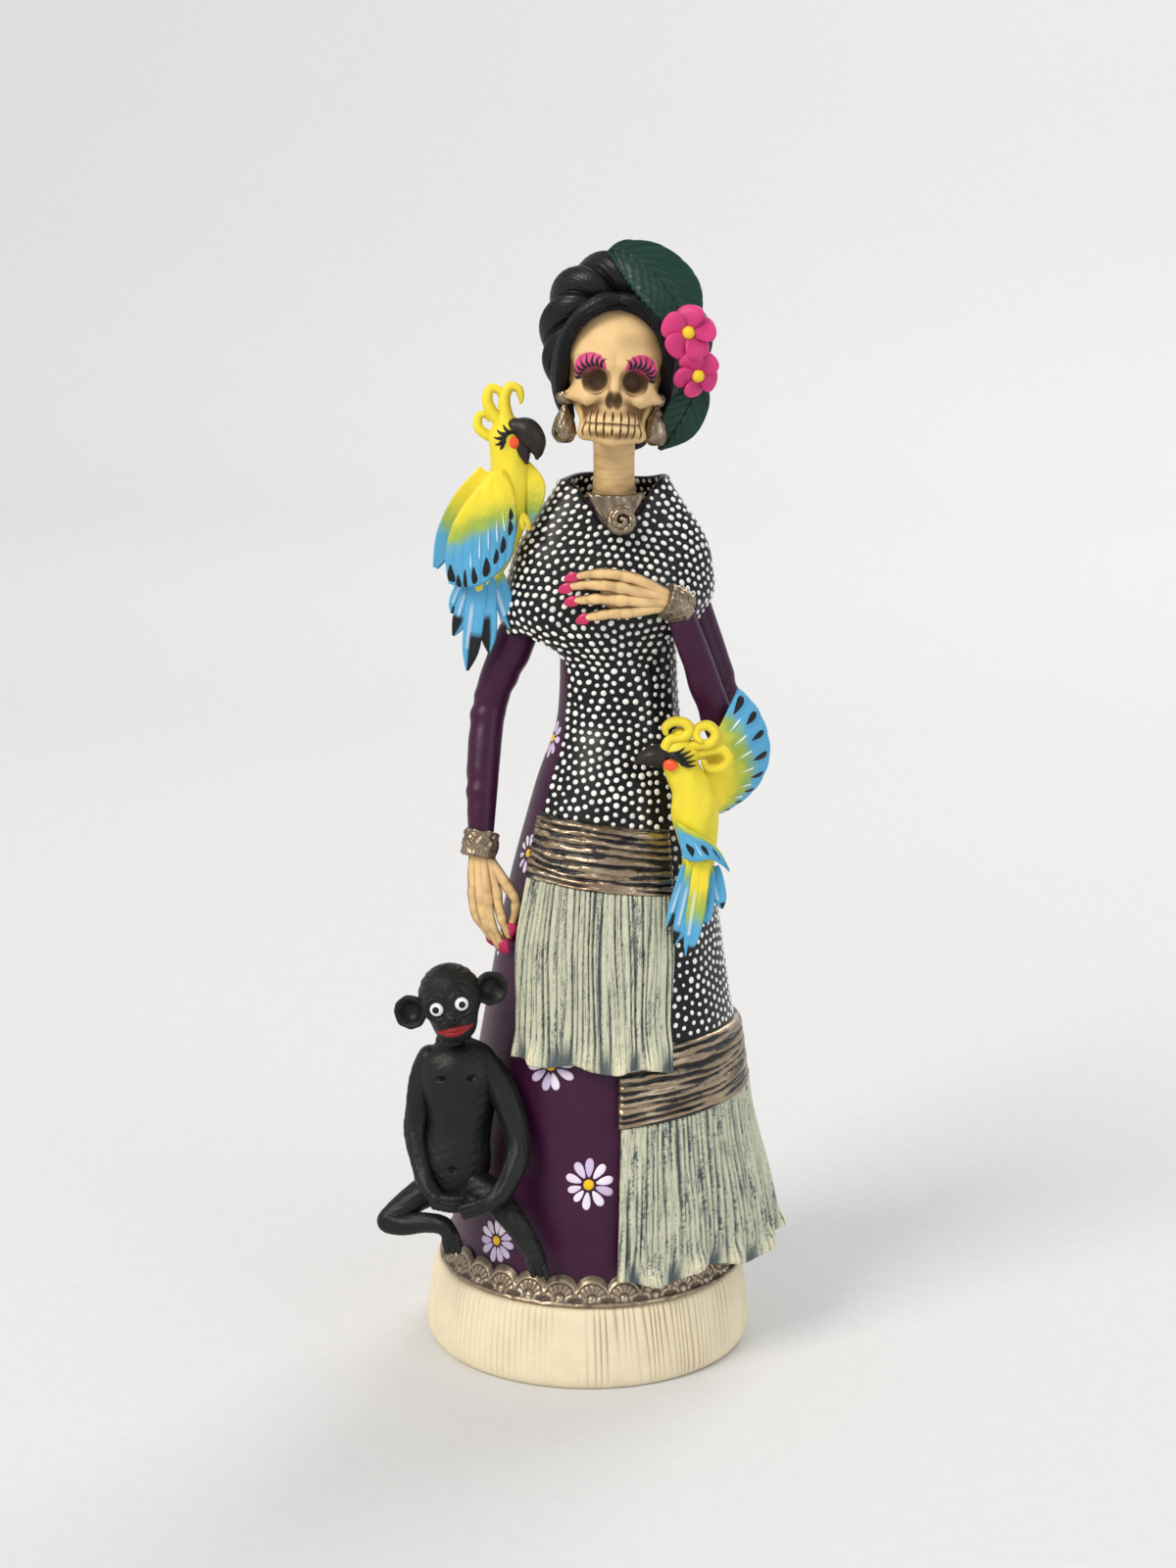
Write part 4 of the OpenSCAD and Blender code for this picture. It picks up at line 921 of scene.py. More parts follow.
nails = [pebble(at, way, face, 3.7, 2.5, 1.0, taper=-0.25, rows=6, sides=16) for at, way, face in (
    ((-23.4, -12.4, 102.2), (0.5, 0.2, -1), (1, 0, 0)), ((-21.4, -13.4, 100.8), (0.5, 0.2, -1), (1, 0, 0)),
    ((-20.3, -14.9, 101.2), (0.5, -0.1, -1), (1, 0, 0)), ((-19.3, -13.2, 103.4), (0.4, 0.2, -1), (1, 0, 0)),
    ((-17.7, -14.3, 105.4), (-0.1, 0, -1), (1, 0, 0)),
    ((-2, -19.6, 186.7), (-1, 0.28, -0.25), (0, 0, 1)), ((-3.4, -19.9, 184.4), (-1, 0.25, -0.3), (0, 0, 1)),
    ((-2, -19.9, 181.4), (-1, 0.2, -0.25), (0, 0, 1)), ((0.5, -19.8, 177.6), (-1, 0.2, -0.4), (0, 0, 1)),
    ((5, -18.6, 185.8), (-1, 0.2, 0), (0, 0, 1)))]
piece("right_nail_tips", nails[:5], nail_paint, ["right_nails"])
piece("left_nail_tips", nails[5:], nail_paint, ["left_nails"])

# ---------------------------------------------------------------- neck and necklace
# The neck is a bone-coloured column scored into vertebrae. A bronze plate hangs in the V of the
# shawl with a coiled brooch on it, both of clay painted with the silver-bronze paint.

bones = lambda a, t: -0.07 * np.exp(-((np.sin(np.pi * (t * 6.2 + 0.1 * np.cos(2 * a)))) / 0.3) ** 2)
shape, a, t = limb([[6, 0, 202.4, 5.3], [6, -0.3, 208, 4.8], [6, -1, 213.5, 4.8],
                    [6, -1.4, 219.5, 4.9]], 160, 72, relief=bones)
# Painted shade: the bone darkens in the grooves between vertebrae and towards the neck's foot in the collar,
# with a little random tone.
dark = np.clip(0.14 * np.exp(-((np.sin(np.pi * (t * 6.2 + 0.1 * np.cos(2 * a)))) / 0.35) ** 2)
               + 0.08 * wander(a, t * 8, 131) + 0.4 * ease((0.35 - t) / 0.2), 0, 0.85)
piece("neck_bones", shape, bone_clay, ["neck"],
      mix(BONE, BONE_SHADE, dark))


def chest(s, t, out=0.0):
    """Plate of the necklace: a V that hangs from both sides of the neck, sloping forwards."""
    wide = 6.9 * (1 - 0.86 * np.asarray(t, float) ** 1.15)
    y = -10.5 - 1.9 * t + 0.028 * (wide * s) ** 2
    return np.stack(np.broadcast_arrays(6.4 + wide * s, y - out, 204.4 - 8.8 * t
                                        + 0.6 * (1 - t) * s ** 2), -1)


s, t = np.meshgrid(spread(-1, 1, 60), spread(0, 1, 50))
edge = np.minimum((1 - np.abs(s)) * 6, np.minimum(t, 1 - t) * 9)
shape = sheet(chest, s, t, 1.3, edge, front=0.12 * wander(s * 3, t * 4, 141), rim=0.8)
piece("necklace_plate", shape, cuff_metal, ["necklace"],
      [worn(g, 142, 0.6) for g in shape], wrap=False)

turn = np.linspace(0, 2 * np.pi * 2.15, 150)
radius = np.interp(turn, [0, 2 * np.pi, turn[-1]], [2.5, 2.35, 0.35])
coil_at, tilt = np.array([7.6, -13.6, 198.8]), radians(12)
coil = np.stack([coil_at[0] + radius * np.cos(turn + 0.6),
                 coil_at[1] - 0.2 - 0.12 * turn + radius * np.sin(turn + 0.6) * np.sin(tilt),
                 coil_at[2] + radius * np.sin(turn + 0.6) * np.cos(tilt),
                 np.interp(turn, [0, 1, 9, turn[-1]], [0.7, 1.05, 0.9, 0.55])], -1)
shape, a, t = limb(coil, 220, 24, side=(0, 1, 0.1), relief=lambda a, t: 0.06 * np.cos(90 * t))
disc = pebble(coil_at + (0, 0.9, -3.2), (0, -0.21, 1), (1, 0, 0), 6.4, 6.4, 1.6)
# Painted shade: the disc under the coil is painted far darker than the coil.
piece("brooch_coil", [shape, disc], cuff_metal, ["brooch"],
      [worn(shape, 143, 0.4), np.concatenate([worn(disc, 144, 1.0)[..., :3] * 0.4,
                                              worn(disc, 144)[..., 3:]], -1)])

# ---------------------------------------------------------------- skull
# Modelled from one ball of clay: sockets and nose are pressed in with a ball tool, and the teeth
# are cut with a blade. The bone colour is darkened in its hollows as painted shade, and the lids
# have pink eye shadow and lashes.


def from_middle(middle, form, start, steps=40):
    """Surface seen from a middle point: along longitude u (0 is -Y) and latitude v in degrees,
    a ray walks inwards from start by 0.8 of the form's distance until it meets the form."""
    def surface(u, v):
        u, v = np.broadcast_arrays(np.radians(u), np.radians(v))
        way = np.stack([np.sin(u) * np.cos(v), -np.cos(u) * np.cos(v), np.sin(v)], -1)
        r = np.full(u.shape, float(start))
        for _ in range(steps):
            r = np.maximum(r - 0.8 * form(middle + r[..., None] * way), 0.3)
        return middle + r[..., None] * way
    return surface


def oval(p, at, size):
    """Distance to an ellipsoid, close enough near it: k (k - 1) / |p/size^2|, k = |p/size|."""
    q = p - np.array(at)
    k = np.linalg.norm(q / size, axis=-1)
    return k * (k - 1) / np.maximum(np.linalg.norm(q / np.square(size), axis=-1), 1e-9)


def rod(p, a, b, r):
    """Distance to a rod of radius r from a to b."""
    a, b = np.array(a, float), np.array(b, float)
    h = np.clip(((p - a) @ (b - a)) / ((b - a) @ (b - a)), 0, 1)
    return np.linalg.norm(p - a - h[..., None] * (b - a), axis=-1) - r


def join(a, b, k):
    """Smooth union of two distances: the smaller, less h^2 k/4 where they come within k.
    A negative k gives their smooth overlap instead."""
    h = np.maximum(abs(k) - np.abs(a - b), 0) / abs(k)
    return (np.minimum if k > 0 else np.maximum)(a, b) - h * h * k / 4


def carve(a, b, k):
    """Smooth removal of the form b from a."""
    return -join(-a, b, k)


ROLL = radians(3.5)
HEAD = np.array([6.0, -5.0, 229.0])


def head_place(q):
    """Places in the upright head moved to the figure: the head is rolled towards her left."""
    x, y, z = np.moveaxis(np.asarray(q, float), -1, 0)
    return HEAD + np.stack([x * np.cos(ROLL) + z * np.sin(ROLL), y,
                            z * np.cos(ROLL) - x * np.sin(ROLL)], -1)


def skull_form(p):
    """Distance to the skull: half of it is described, and |x| mirrors it."""
    q = np.concatenate([np.abs(p[..., :1]), p[..., 1:]], -1)
    d = oval(q, (0, 2.6, 5.8), (11.9, 12.0, 11.2))
    d = join(d, oval(q, (0, -2.6, 1.6), (10.2, 8.6, 9.8)), 2.5)
    d = join(d, oval(q, (0, -3.2, 8.4), (9.8, 6.9, 8.8)), 2.5)
    d = join(d, rod(q, (5.8, -8.6, -3.2), (10.2, -3.4, -2.0), 1.7), 2.4)
    d = join(d, rod(q, (1.6, -10.4, 4.7), (8.2, -8.0, 4.0), 0.9), 2.6)
    d = join(d, rod(q, (0, -10.2, 2.5), (0, -11.4, -0.9), 0.75), 1.2)
    d = join(d, oval(q, (0, -6.0, -6.2), (5.4, 4.7, 3.4)), 1.6)
    d = join(d, rod(q, (7.3, -1.6, -4.5), (6.0, -5.2, -10.6), 1.7), 1.6)
    d = join(d, rod(q, (5.8, -5.6, -10.8), (0, -9.3, -12.0), 1.75), 1.5)
    d = carve(d, oval(q, (4.5, -10.9, 1.0), (3.15, 4.2, 2.95)), 0.9)
    d = carve(d, oval(q, (0.85, -11.6, -3.5), (0.95, 2.4, 1.75)), 0.5)
    d = carve(d, oval(q, (11.6, -4.6, 1.6), (2.6, 4.6, 4.0)), 1.5)
    d = carve(d, oval(q, (8.9, -6.6, -7.4), (2.5, 4.2, 3.0)), 1.6)
    angle = np.arctan2(p[..., 0], -(p[..., 1] + 4.9))
    arch = np.hypot(p[..., 0], p[..., 1] + 4.9) - 6.6
    ends = np.abs(angle) - 1.25
    d = join(d, join(join(np.abs(p[..., 2] + 8.8) - 2.2, arch, -1.6), ends, -0.8), 1.6)
    root = np.abs(p[..., 2] + 8.8)
    gap = np.exp(-(np.sin(angle * 10.5) / 0.26) ** 2) * ease((3.4 - root) / 1.6)
    d = d + 0.42 * gap * (ends < 0) * ease((arch + 2) / 0.8)
    mouth = np.maximum(root - 0.2 - 0.1 * np.cos(3 * angle), -arch - 1.8)
    return carve(d, np.maximum(mouth, np.abs(angle) - 1.2), 0.3)


HEAD_MIDDLE = np.array([0, -1.5, 0.5])
in_head = from_middle(HEAD_MIDDLE, skull_form, 19)
side = np.linspace(-1, 1, 350, endpoint=False)
u, v = np.meshgrid(180 * (0.42 * side + 0.58 * side ** 3),
                   90 * (0.8 * np.linspace(-1, 1, 189) + 0.2 * np.linspace(-1, 1, 189) ** 3))
shape = in_head(u, v)
e = 0.25
normal = unit(np.stack([skull_form(shape + d) - skull_form(shape - d)
                        for d in np.eye(3) * e], -1))
# Painted shade: the bone darkens towards brown where the surface lies in a hollow, with a little random
# tone.
hollow = np.clip(1 - skull_form(shape + 0.8 * normal) / 0.8, 0, 1)
x, y, z = np.moveaxis(shape, -1, 0)
socket = np.hypot((np.abs(x) - 4.5) / 3.15, (z - 1.0) / 2.95)
inside_socket = ease((1.12 - socket) / 0.35) * (y < -4)
nose = ease((1.3 - np.hypot((np.abs(x) - 0.85) / 1.0, (z + 3.5) / 1.8)) / 0.5) * (y < -7)
dark = np.clip(1.5 * ease((hollow - 0.08) / 0.5) + 0.12 * wander(x / 7, z / 7, 151), 0, 0.9)
paint = mix(BONE, BONE_SHADE, dark)
teeth = ease((1.35 - np.abs(z + 8.8)) / 0.3 + 1.2) * (y < -6.5) * (np.abs(z + 8.8) < 2.1)
paint = mix(paint, linear("#e9d3a2"), 0.35 * teeth * (1 - dark))
lift_angle = np.degrees(np.arctan2(z - 1.0, (np.abs(x) - 4.5)))
crescent = 1 + 1.15 * np.clip(np.cos(np.radians(lift_angle - 66) * 1.25), 0, 1) ** 0.9
lid = (ease((socket - 0.95) / 0.08) * ease((crescent - socket) / 0.1)
       * ease((np.cos(np.radians(lift_angle - 66) * 1.25) - 0.02) / 0.1) * (y < -3.5)
       * ease((np.abs(x) - 1.4) / 0.5))
paint = mix(paint, linear("#d53a7d"), 0.95 * lid)
paint = mix(paint, linear("#2a170c"), np.clip(0.92 * inside_socket + 0.85 * nose, 0, 0.94))
piece("skull_modelled", head_place(shape), bone_clay, ["skull"], paint)

lashes = []
for mirror in (-1, 1):
    for k in range(8):
        a = radians(6 + 15 * k)
        reach = 1.7 + 0.32 * np.sin(np.pi * (k + 0.5) / 8)
        path = np.array([[mirror * (4.5 + r * 3.15 * np.cos(a + b)), 0,
                          1.0 + r * 2.95 * np.sin(a + b)]
                         for r, b in ((1.06, 0.02), (1.28, -0.07), (1.5, -0.05), (reach, 0.07))])
        way = path - HEAD_MIDDLE
        way[:, 1] = -8
        for _ in range(8):
            path = in_head(np.degrees(np.arctan2(way[:, 0], -way[:, 1])),
                           np.degrees(np.arctan2(way[:, 2], np.hypot(way[:, 0], way[:, 1]))))
            way[:, 1] = mix(way[:, 1], path[:, 1] - HEAD_MIDDLE[1], 0.7)
        path = head_place(path + unit(path - HEAD_MIDDLE) * 0.02)
        lashes.append(limb(np.c_[path, [0.34, 0.36, 0.24, 0.05]], 16, 10, cap=3)[0])
lash_paint = painted_clay("navy_black_lash_paint", "#1a1a26", roughness=0.4)
piece("skull_lashes", lashes, lash_paint)

# ---------------------------------------------------------------- hair
# Black clay combed into strands with a needle: two wings on each side of a middle parting, a mass
# gathered at the back and a thick twisted roll standing over the head from her right temple.

hair_clay = painted_clay("black_combed_clay", "#16161a", roughness=0.33, uneven=0.15, grain=0.5,
                         dent=0.04)


def strands(count, seed, depth=0.16, twist=0.0):
    """Relief of combed strands: count fine grooves round a roll, wandering along it."""
    def relief(a, t):
        warp = 0.5 * wander(a / 1.5, t * 2.2, seed)
        comb = np.abs(np.sin(count / 2 * (a - twist * 2 * np.pi * t) + 2.2 * warp))
        fine = np.abs(np.sin(count * 1.3 * (a - twist * 2 * np.pi * t) + 3 * warp))
        return -depth * (1.3 * (1 - comb) ** 2 + 0.5 * (1 - fine) ** 2) + 0.12 * warp
    return relief


wings = []
front_wing = [[0.2, -8.3, 19.0, 1.6], [3.6, -8.9, 18.1, 2.1], [8.1, -7.8, 14.9, 2.6],
              [11.4, -5.0, 9.4, 3.1], [12.2, -1.8, 3.2, 3.0], [11.9, 1.6, -2.6, 2.8],
              [11.0, 4.6, -7.0, 2.0]]
rear_wing = [[0.3, -3.2, 18.4, 3.6], [4.6, -3.4, 17.4, 4.0], [9.0, -2.2, 13.2, 4.2],
             [11.7, 0.2, 7.2, 4.6], [12.1, 3.6, 1.4, 4.6], [11.4, 6.8, -3.8, 4.0],
             [10.0, 9.4, -8.0, 2.6]]
for mirror in (-1, 1):
    for k, way in enumerate((front_wing, rear_wing)):
        path = np.array(way)
        path[:, 0] *= mirror
        path[:, :3] = head_place(path[:, :3])
        wings.append(limb(path, 90, 150, side=(0, 1, 0.35), flat=0.56,
                          relief=strands(17 + 6 * k, 161 + mirror + 20 * k, 0.42, 0.12 * mirror))[0])
piece("hair_wings", wings, hair_clay, ["hair_front"])
shape = limb([[7.6, 4, 251, 8.5], [8.2, 7.2, 246, 13.6], [8.6, 8.2, 236, 15.6],
              [9.4, 7.6, 226, 13.2], [9.6, 6.6, 219.6, 8.8], [9.4, 6.2, 216.4, 4.6]], 90, 180,
             side=(1, 0, 0), flat=0.62, relief=strands(56, 165, 0.4))[0]
piece("hair_gathered", shape, hair_clay, ["hair_back"])


def rope(a, t):
    """Three strands twisted together, each combed along its own length."""
    turns = 2.5
    lead = a - turns * 2 * np.pi * t
    lobe = np.abs(np.cos(1.5 * lead)) ** 0.65
    comb = np.abs(np.sin(12 * lead + 2.4 * np.sin(3 * lead) + 1.2 * wander(a / 2, t * 4, 166)))
    return 2.3 * lobe - 1.55 - 0.42 * (1 - comb) ** 1.6 * lobe + 0.15 * wander(a / 2, t * 5, 167)


crown = [[-4.3, 0, 228, 3.4], [-5.5, 1, 234.5, 4.6], [-4.7, 1, 242, 5.8], [-1.2, 0.8, 248.4, 6.8],
         [3.8, 0.5, 251.4, 6.8], [10, 0.5, 251.6, 6.6], [17.4, 1, 248, 6.4], [22.6, 2, 240.6, 5.4],
         [23.6, 3, 233, 4]]
piece("hair_twisted_roll", limb(crown, 230, 150, side=(0, 1, 0), relief=rope)[0], hair_clay,
      ["braid_crown"])

# ---------------------------------------------------------------- leaves
# Two leaves cut from rolled clay, pinched along the midrib and scored with veins. They are dark
# green with a satin finish and sit behind the flowers.


def blade(path, face, fold=0.12, notch=0.0):
    """Leaf or wing: a smooth path of [x, y, z, half width], widened across the way it faces.

    s runs from -1 to 1 across, t from 0 to 1 along; fold lifts both sides off the middle.
    """
    def surface(s, t, out=0.0):
        s, t = np.broadcast_arrays(np.asarray(s, float), np.asarray(t, float))
        w = smooth(path, t)
        ahead, behind = smooth(path, t + 0.01), smooth(path, t - 0.01)
        heading = unit(ahead[..., :3] - behind[..., :3])
        across = unit(np.cross(heading, np.array(face, float)))
        up = unit(np.cross(across, heading))
        half = w[..., 3] * (1 + notch * np.abs((t * 17) % 1 - 0.5) * (s > 0))
        rise = fold * np.abs(s) ** 1.4 * w[..., 3]
        return (w[..., :3] + (half * s)[..., None] * across + (rise + out)[..., None] * up)
    return surface


def leaf(name, node, path, face, length, seed):
    """Scored leaf: slanting veins from a midrib."""
    surface = blade(path, face, 0.16, 0.14)
    s, t = np.meshgrid(spread(-1, 1, 96), spread(0, 1, 110))
    half = smooth(path, t)[..., 3]
    vein = np.abs(np.sin(np.pi * (t * length - np.abs(s) * half * 0.95) / 2.3))
    fine = np.abs(np.sin(np.pi * (t * length - np.abs(s) * half * 0.95) / 0.75))
    rib = np.exp(-(s * half / 0.35) ** 2)
    relief = -0.28 * (1 - vein) ** 2 - 0.08 * (1 - fine) ** 2 - 0.4 * rib
    relief = relief + 0.15 * wander(s * 2, t * 3, seed)
    edge = np.minimum((1 - np.abs(s)) * half, np.minimum(t, 1 - t) * length)
    dark = np.clip(0.3 * (1 - vein) ** 1.5 + 0.5 * rib, 0, 0.85)
    colour = mix(linear("#11382a"), linear("#0a1f17"), dark)
    piece(name, sheet(surface, s, t, 1.4, edge, front=relief, rim=0.6), leaf_clay, [node],
          [colour, colour], wrap=False)


leaf_clay = painted_clay("dark_green_satin_acrylic", roughness=0.42, uneven=0.1, grain=0.5)
leaf("upper_leaf_scored", "upper_leaf",
     [[4.4, -4.4, 258.4, 0.4], [8.2, -5.4, 257.8, 4.2], [13.4, -7.4, 254.6, 7.4], [18.6, -9.6, 248.4, 7.8],
      [22, -11, 240.5, 3.6]], (0.5, -1, 0.55), 24, 171)
leaf("lower_leaf_scored", "lower_leaf",
     [[25.4, -6.4, 230, 2.2], [23.4, -7, 225, 4.3], [20.2, -7, 219.4, 4.2], [16.2, -6, 214.3, 0.4]],
     (0.35, -1, 0.1), 19, 172)

# ---------------------------------------------------------------- flowers
# Five thick petals each, pressed round a small yellow ball and overlapping like roof tiles; they
# are painted hot pink, a little darker where a petal starts.

petal_paint = painted_clay("hot_pink_acrylic", roughness=0.42, uneven=0.08, grain=0.4)
for name, node, at, size, face, start in (
        ("upper_flower_petals", "upper_flower", (22.3, -15, 240.4), 5.9, (0.12, -1, 0.12), 0.4),
        ("lower_flower_petals", "lower_flower", (24.2, -13.4, 231.6), 5.2, (0.4, -1, -0.35), 1.0)):
    axis = unit(np.array(face, float))
    u = unit(np.cross(axis, (0, 0, 1)))
    w = np.cross(u, axis)
    grids, colours = [], []
    for k in range(5):
        a = start + 2 * np.pi * k / 5
        way = unit(np.cos(a) * u + np.sin(a) * w + 0.12 * axis)
        across = unit(-np.sin(a) * u + np.cos(a) * w + 0.42 * axis)
        g = pebble(np.array(at) + 0.3 * axis + 0.25 * way, way, across, size * 1.02, size * 1.04, 1.7,
                   taper=0.32, dome=3.5, rows=14, sides=48, bend=0.02)
        far = np.linalg.norm(g - np.array(at), axis=-1) / size
        edge = 0.25 * wander(g[..., 0] / 3, g[..., 2] / 3, 181 + k)
        grids.append(g)
        colours.append(mix(linear("#a51d56"), linear("#d63c7c"),
                           np.clip(0.15 + 0.9 * far + 0.3 * edge, 0, 1)))
    piece(name, grids, petal_paint, [node], colours)
yellow_paint = painted_clay("yellow_acrylic", "#f4cf2e", roughness=0.45, uneven=0.06)
centres = [turned([[0, -1], [1.2, -0.8], [1.45, 0], [1.2, 0.7], [0.7, 1.15], [0, 1.3]], at, face, 32,
                  hammered(190, 0.06, 0.7))
           for at, face in (((22.3, -16.3, 240.5), (0.12, -1, 0.12)),
                            ((24.6, -14.7, 231.0), (0.4, -1, -0.35)))]
piece("flower_hearts", centres, yellow_paint, ["flower_centres"])

# ---------------------------------------------------------------- earrings
# A ball stud and a pear drop of clay on each side of the head, tapped uneven and painted bronze.

drop = smooth([[0, -10.4], [1.5, -10.2], [2.6, -8.8], [2.75, -7.2], [2.1, -4.9], [1.0, -2.9],
               [0.55, -1.8], [1.3, -1.35], [1.8, -0.4], [1.75, 0.7], [1.1, 1.5], [0, 1.8]],
              np.linspace(0, 1, 60))
drop[:, 0] = np.maximum(drop[:, 0], 0)
for name, node, at, seed in (("right_earring_drop", "right_earring", (-5.3, -6, 226.2), 191),
                             ("left_earring_drop", "left_earring", (15.6, -7.5, 225.6), 192)):
    shape = turned(drop, at, (0.02, 0, 1), 48, hammered(seed, 0.12, 1.1))
    piece(name, shape, cuff_metal, [node], worn(shape, seed, 0.35))

# ---------------------------------------------------------------- parrots
# Two small parrots of clay, one on her right shoulder and one under her left elbow: a rolled
# body, wings and tail feathers cut from thin sheet, curled crests and a pinched beak. Yellow runs
# through green into sky blue while the paint is wet; spots, lashes and feather tips are black.

YELLOW, GREEN, SKY = linear("#ebd838"), linear("#74a850"), linear("#56a6cf")
BLACK, WHITE = linear("#17181c"), linear("#f7fbff")
feather_paint = painted_clay("blended_parrot_acrylics", roughness=0.45, uneven=0.07, grain=0.4,
                             dent=0.05)
beak_paint = painted_clay("brown_black_beak_paint", "#2b2422", roughness=0.4, uneven=0.12)
eye_paint = painted_clay("orange_red_eye_paint", "#f25a2c", roughness=0.3, uneven=0.05)
spot_paint = painted_clay("black_brushed_spots", "#17181c", roughness=0.38, uneven=0.1)
white_paint = painted_clay("thin_white_streaks", "#eef8ff", roughness=0.45, uneven=0.04)


def plumage(blue):
    """Yellow at 0, green at about 0.5 and sky blue from 0.7 on."""
    blue = np.clip(blue, 0, 1)
    return mix(mix(YELLOW, GREEN, 0.8 * ease(blue / 0.5)), SKY,
               ease((blue - 0.38) / 0.34))


def wing(name, node, surface, blue, thick, drops, streaks, ribs, seed=200):
    """Wing of surface(u, v) painted by blue(u, v), with scored ribs, black drops and streaks.

    Each drop or streak is (u, v, way u, way v, length, width) in the wing's own u, v and in mm.
    """
    u, v = np.meshgrid(spread(0, 1, 90), spread(0, 1, 84))
    per_u, per_v = scale_at(surface, u, v)
    edge = np.minimum(np.minimum(u, 1 - u) * per_u, np.minimum(v, 1 - v) * per_v)
    relief = ribs(u, v) + 0.1 * wander(u * 4, v * 4, seed)
    colour = plumage(blue(u, v) + 0.05 * wander(u * 9, v * 9, seed + 1))
    piece(name, sheet(surface, u, v, thick, edge, front=relief, rim=0.6), feather_paint,
          [node] if node else (), [colour, colour], wrap=False)
    top = lambda s, t: surface(s, t, thick / 2)
    for kind, marks, paint in (("drops", drops, spot_paint), ("streaks", streaks, white_paint)):
        if not len(marks):
            continue
        m = np.array(marks, float)
        pu, pv = scale_at(top, m[:, 0], m[:, 1])
        way = m[:, 2:4] * np.stack([pu, pv], -1)
        way /= np.linalg.norm(way, axis=1, keepdims=True)
        along = way * m[:, 4:5] / 2 / np.stack([pu, pv], -1)
        across = np.stack([-way[:, 1], way[:, 0]], -1) * m[:, 5:6] / 2 / np.stack([pu, pv], -1)
        piece(f"{name}_{kind}", daubs(top, m[:, :2], (along, across), 0, 0.16, 16, 0.75, 0.5),
              paint)


def feather(root, tip, width, bend=(0, 0, 0)):
    """Blade surface of one tail feather from root to tip, bent by a sideways middle."""
    root, tip = np.array(root, float), np.array(tip, float)
    middle = (root + tip) / 2 + np.array(bend)
    return blade([[*root, width * 0.75], [*((root + middle) / 2), width],
                  [*((middle + tip) / 2), width * 0.9], [*tip, width * 0.15]], (0, -1, 0), 0.08)


def tail(name, node, feathers, seed):
    """Fan of feathers: (surface, yellow share, black share) each; black lies near the tip."""
    grids, colours = [], []
    for k, (surface, yellow, black) in enumerate(feathers):
        s, t = np.meshgrid(spread(-1, 1, 24), spread(0, 1, 56))
        half, _ = scale_at(surface, 0 * s, t)
        edge = np.minimum((1 - np.abs(s)) * half, np.minimum(t, 1 - t) * 14)
        ribs = -0.16 * np.exp(-(s / 0.12) ** 2) - 0.08 * (np.sin(5 * s + 14 * t) > 0.4)
        both = sheet(surface, s, t, 1.15, edge, front=ribs, rim=0.5)
        colour = plumage(0.5 + (t - yellow) * 2.2 + 0.06 * wander(s * 2, t * 5, seed + k))
        tipped = ease((t - 1 + black) / 0.05) * ease((s * (1 if k % 2 else -1) + 0.5) / 0.4)
        streak = 0.5 * np.exp(-((s - 0.4) / 0.18) ** 2) * ease((t - 0.35) / 0.1)
        colour = mix(mix(colour, WHITE, streak * (t < 0.7)), BLACK, tipped)
        grids += both
        colours += [colour, colour]
    piece(name, grids, feather_paint, [node], colours, wrap=False)


def curls(name, node, paths):
    """Crest of rolled curls that thin out towards their ends; one side of each curl is painted darker ochre
    as shade.
    """
    rolls = [limb(p, 70, 20, side=(0, 1, 0)) for p in paths]
    piece(name, [shape for shape, a, t in rolls], feather_paint, [node],
          [mix(YELLOW, linear("#b5952a"), 0.5 * ease(-np.sin(a)))
           for shape, a, t in rolls])


def on_ball(middle, radius, places, out=0.0):
    """Places (x, z) put on the front of a ball: y is middle y less (r^2 - dx^2 - dz^2)^0.5."""
    places = np.asarray(places, float)
    d = ((places - np.array(middle)[[0, 2]]) ** 2).sum(1)
    y = middle[1] - np.sqrt(np.maximum(radius ** 2 - d, 0.6)) - out
    return np.stack([places[:, 0], y, places[:, 1]], -1)


def lash_set(name, middle, radius, paths):
    """Black lashes brushed on a head: fine strokes that taper from the lid."""
    strokes = []
    for p in paths:
        q = on_ball(middle, radius, smooth(p, np.linspace(0, 1, 9)), 0.05)
        strokes.append(limb(np.c_[q, np.interp(np.linspace(0, 1, 9), [0, 0.4, 1], [0.5, 0.42, 0.1])],
                            24, 10, cap=3)[0])
    piece(name, strokes, spot_paint)


def body(path, seed):
    """Rolled body with shallow tool marks, yellow, and its grid of places."""
    marks = lambda a, t: 0.14 * wander(a * 1.2, t * 5, seed) - 0.1 * (wander(a * 3, t * 16, seed + 1) > 1.2)
    return limb(path, 110, 72, side=(1, 0, 0), relief=marks)


# Shoulder parrot, looking over her right shoulder
path = [[-18.9, -6, 220.9, 2.2], [-18.6, -6.2, 218.2, 4.2], [-18.2, -6.3, 214.4, 4.2],
        [-17.9, -6, 209, 4.6], [-18.8, -6, 202.5, 5.4], [-21.2, -5.8, 195, 5.6],
        [-24, -5.6, 188, 4.6], [-25, -5.8, 183.6, 3.2]]
shape, a, t = body(path, 211)
shade = 0.35 * ease((shape[..., 0] + 15.6) / 2) * ease((206 - shape[..., 2]) / 6)
piece("shoulder_parrot_roll", shape, feather_paint, ["shoulder_parrot_body"],
      plumage(shade + 0.05 * wander(a, t * 6, 212)))
beak = limb([[-16.3, -8.2, 219.4, 2.2], [-13.9, -8.6, 218.6, 3.0], [-12.1, -8.9, 216.2, 2.7],
             [-11.5, -9, 213.9, 1.5], [-11.6, -9, 212.6, 0.5]], 50, 40, side=(0, 1, 0.1), flat=1.0)[0]
chin = limb([[-15.8, -8.4, 216.4, 1.8], [-14.6, -8.8, 214, 1.6], [-13.9, -9, 211.6, 0.5]], 40, 32)[0]
piece("shoulder_parrot_beak_pinched", [beak, chin], beak_paint, ["shoulder_parrot_beak"])
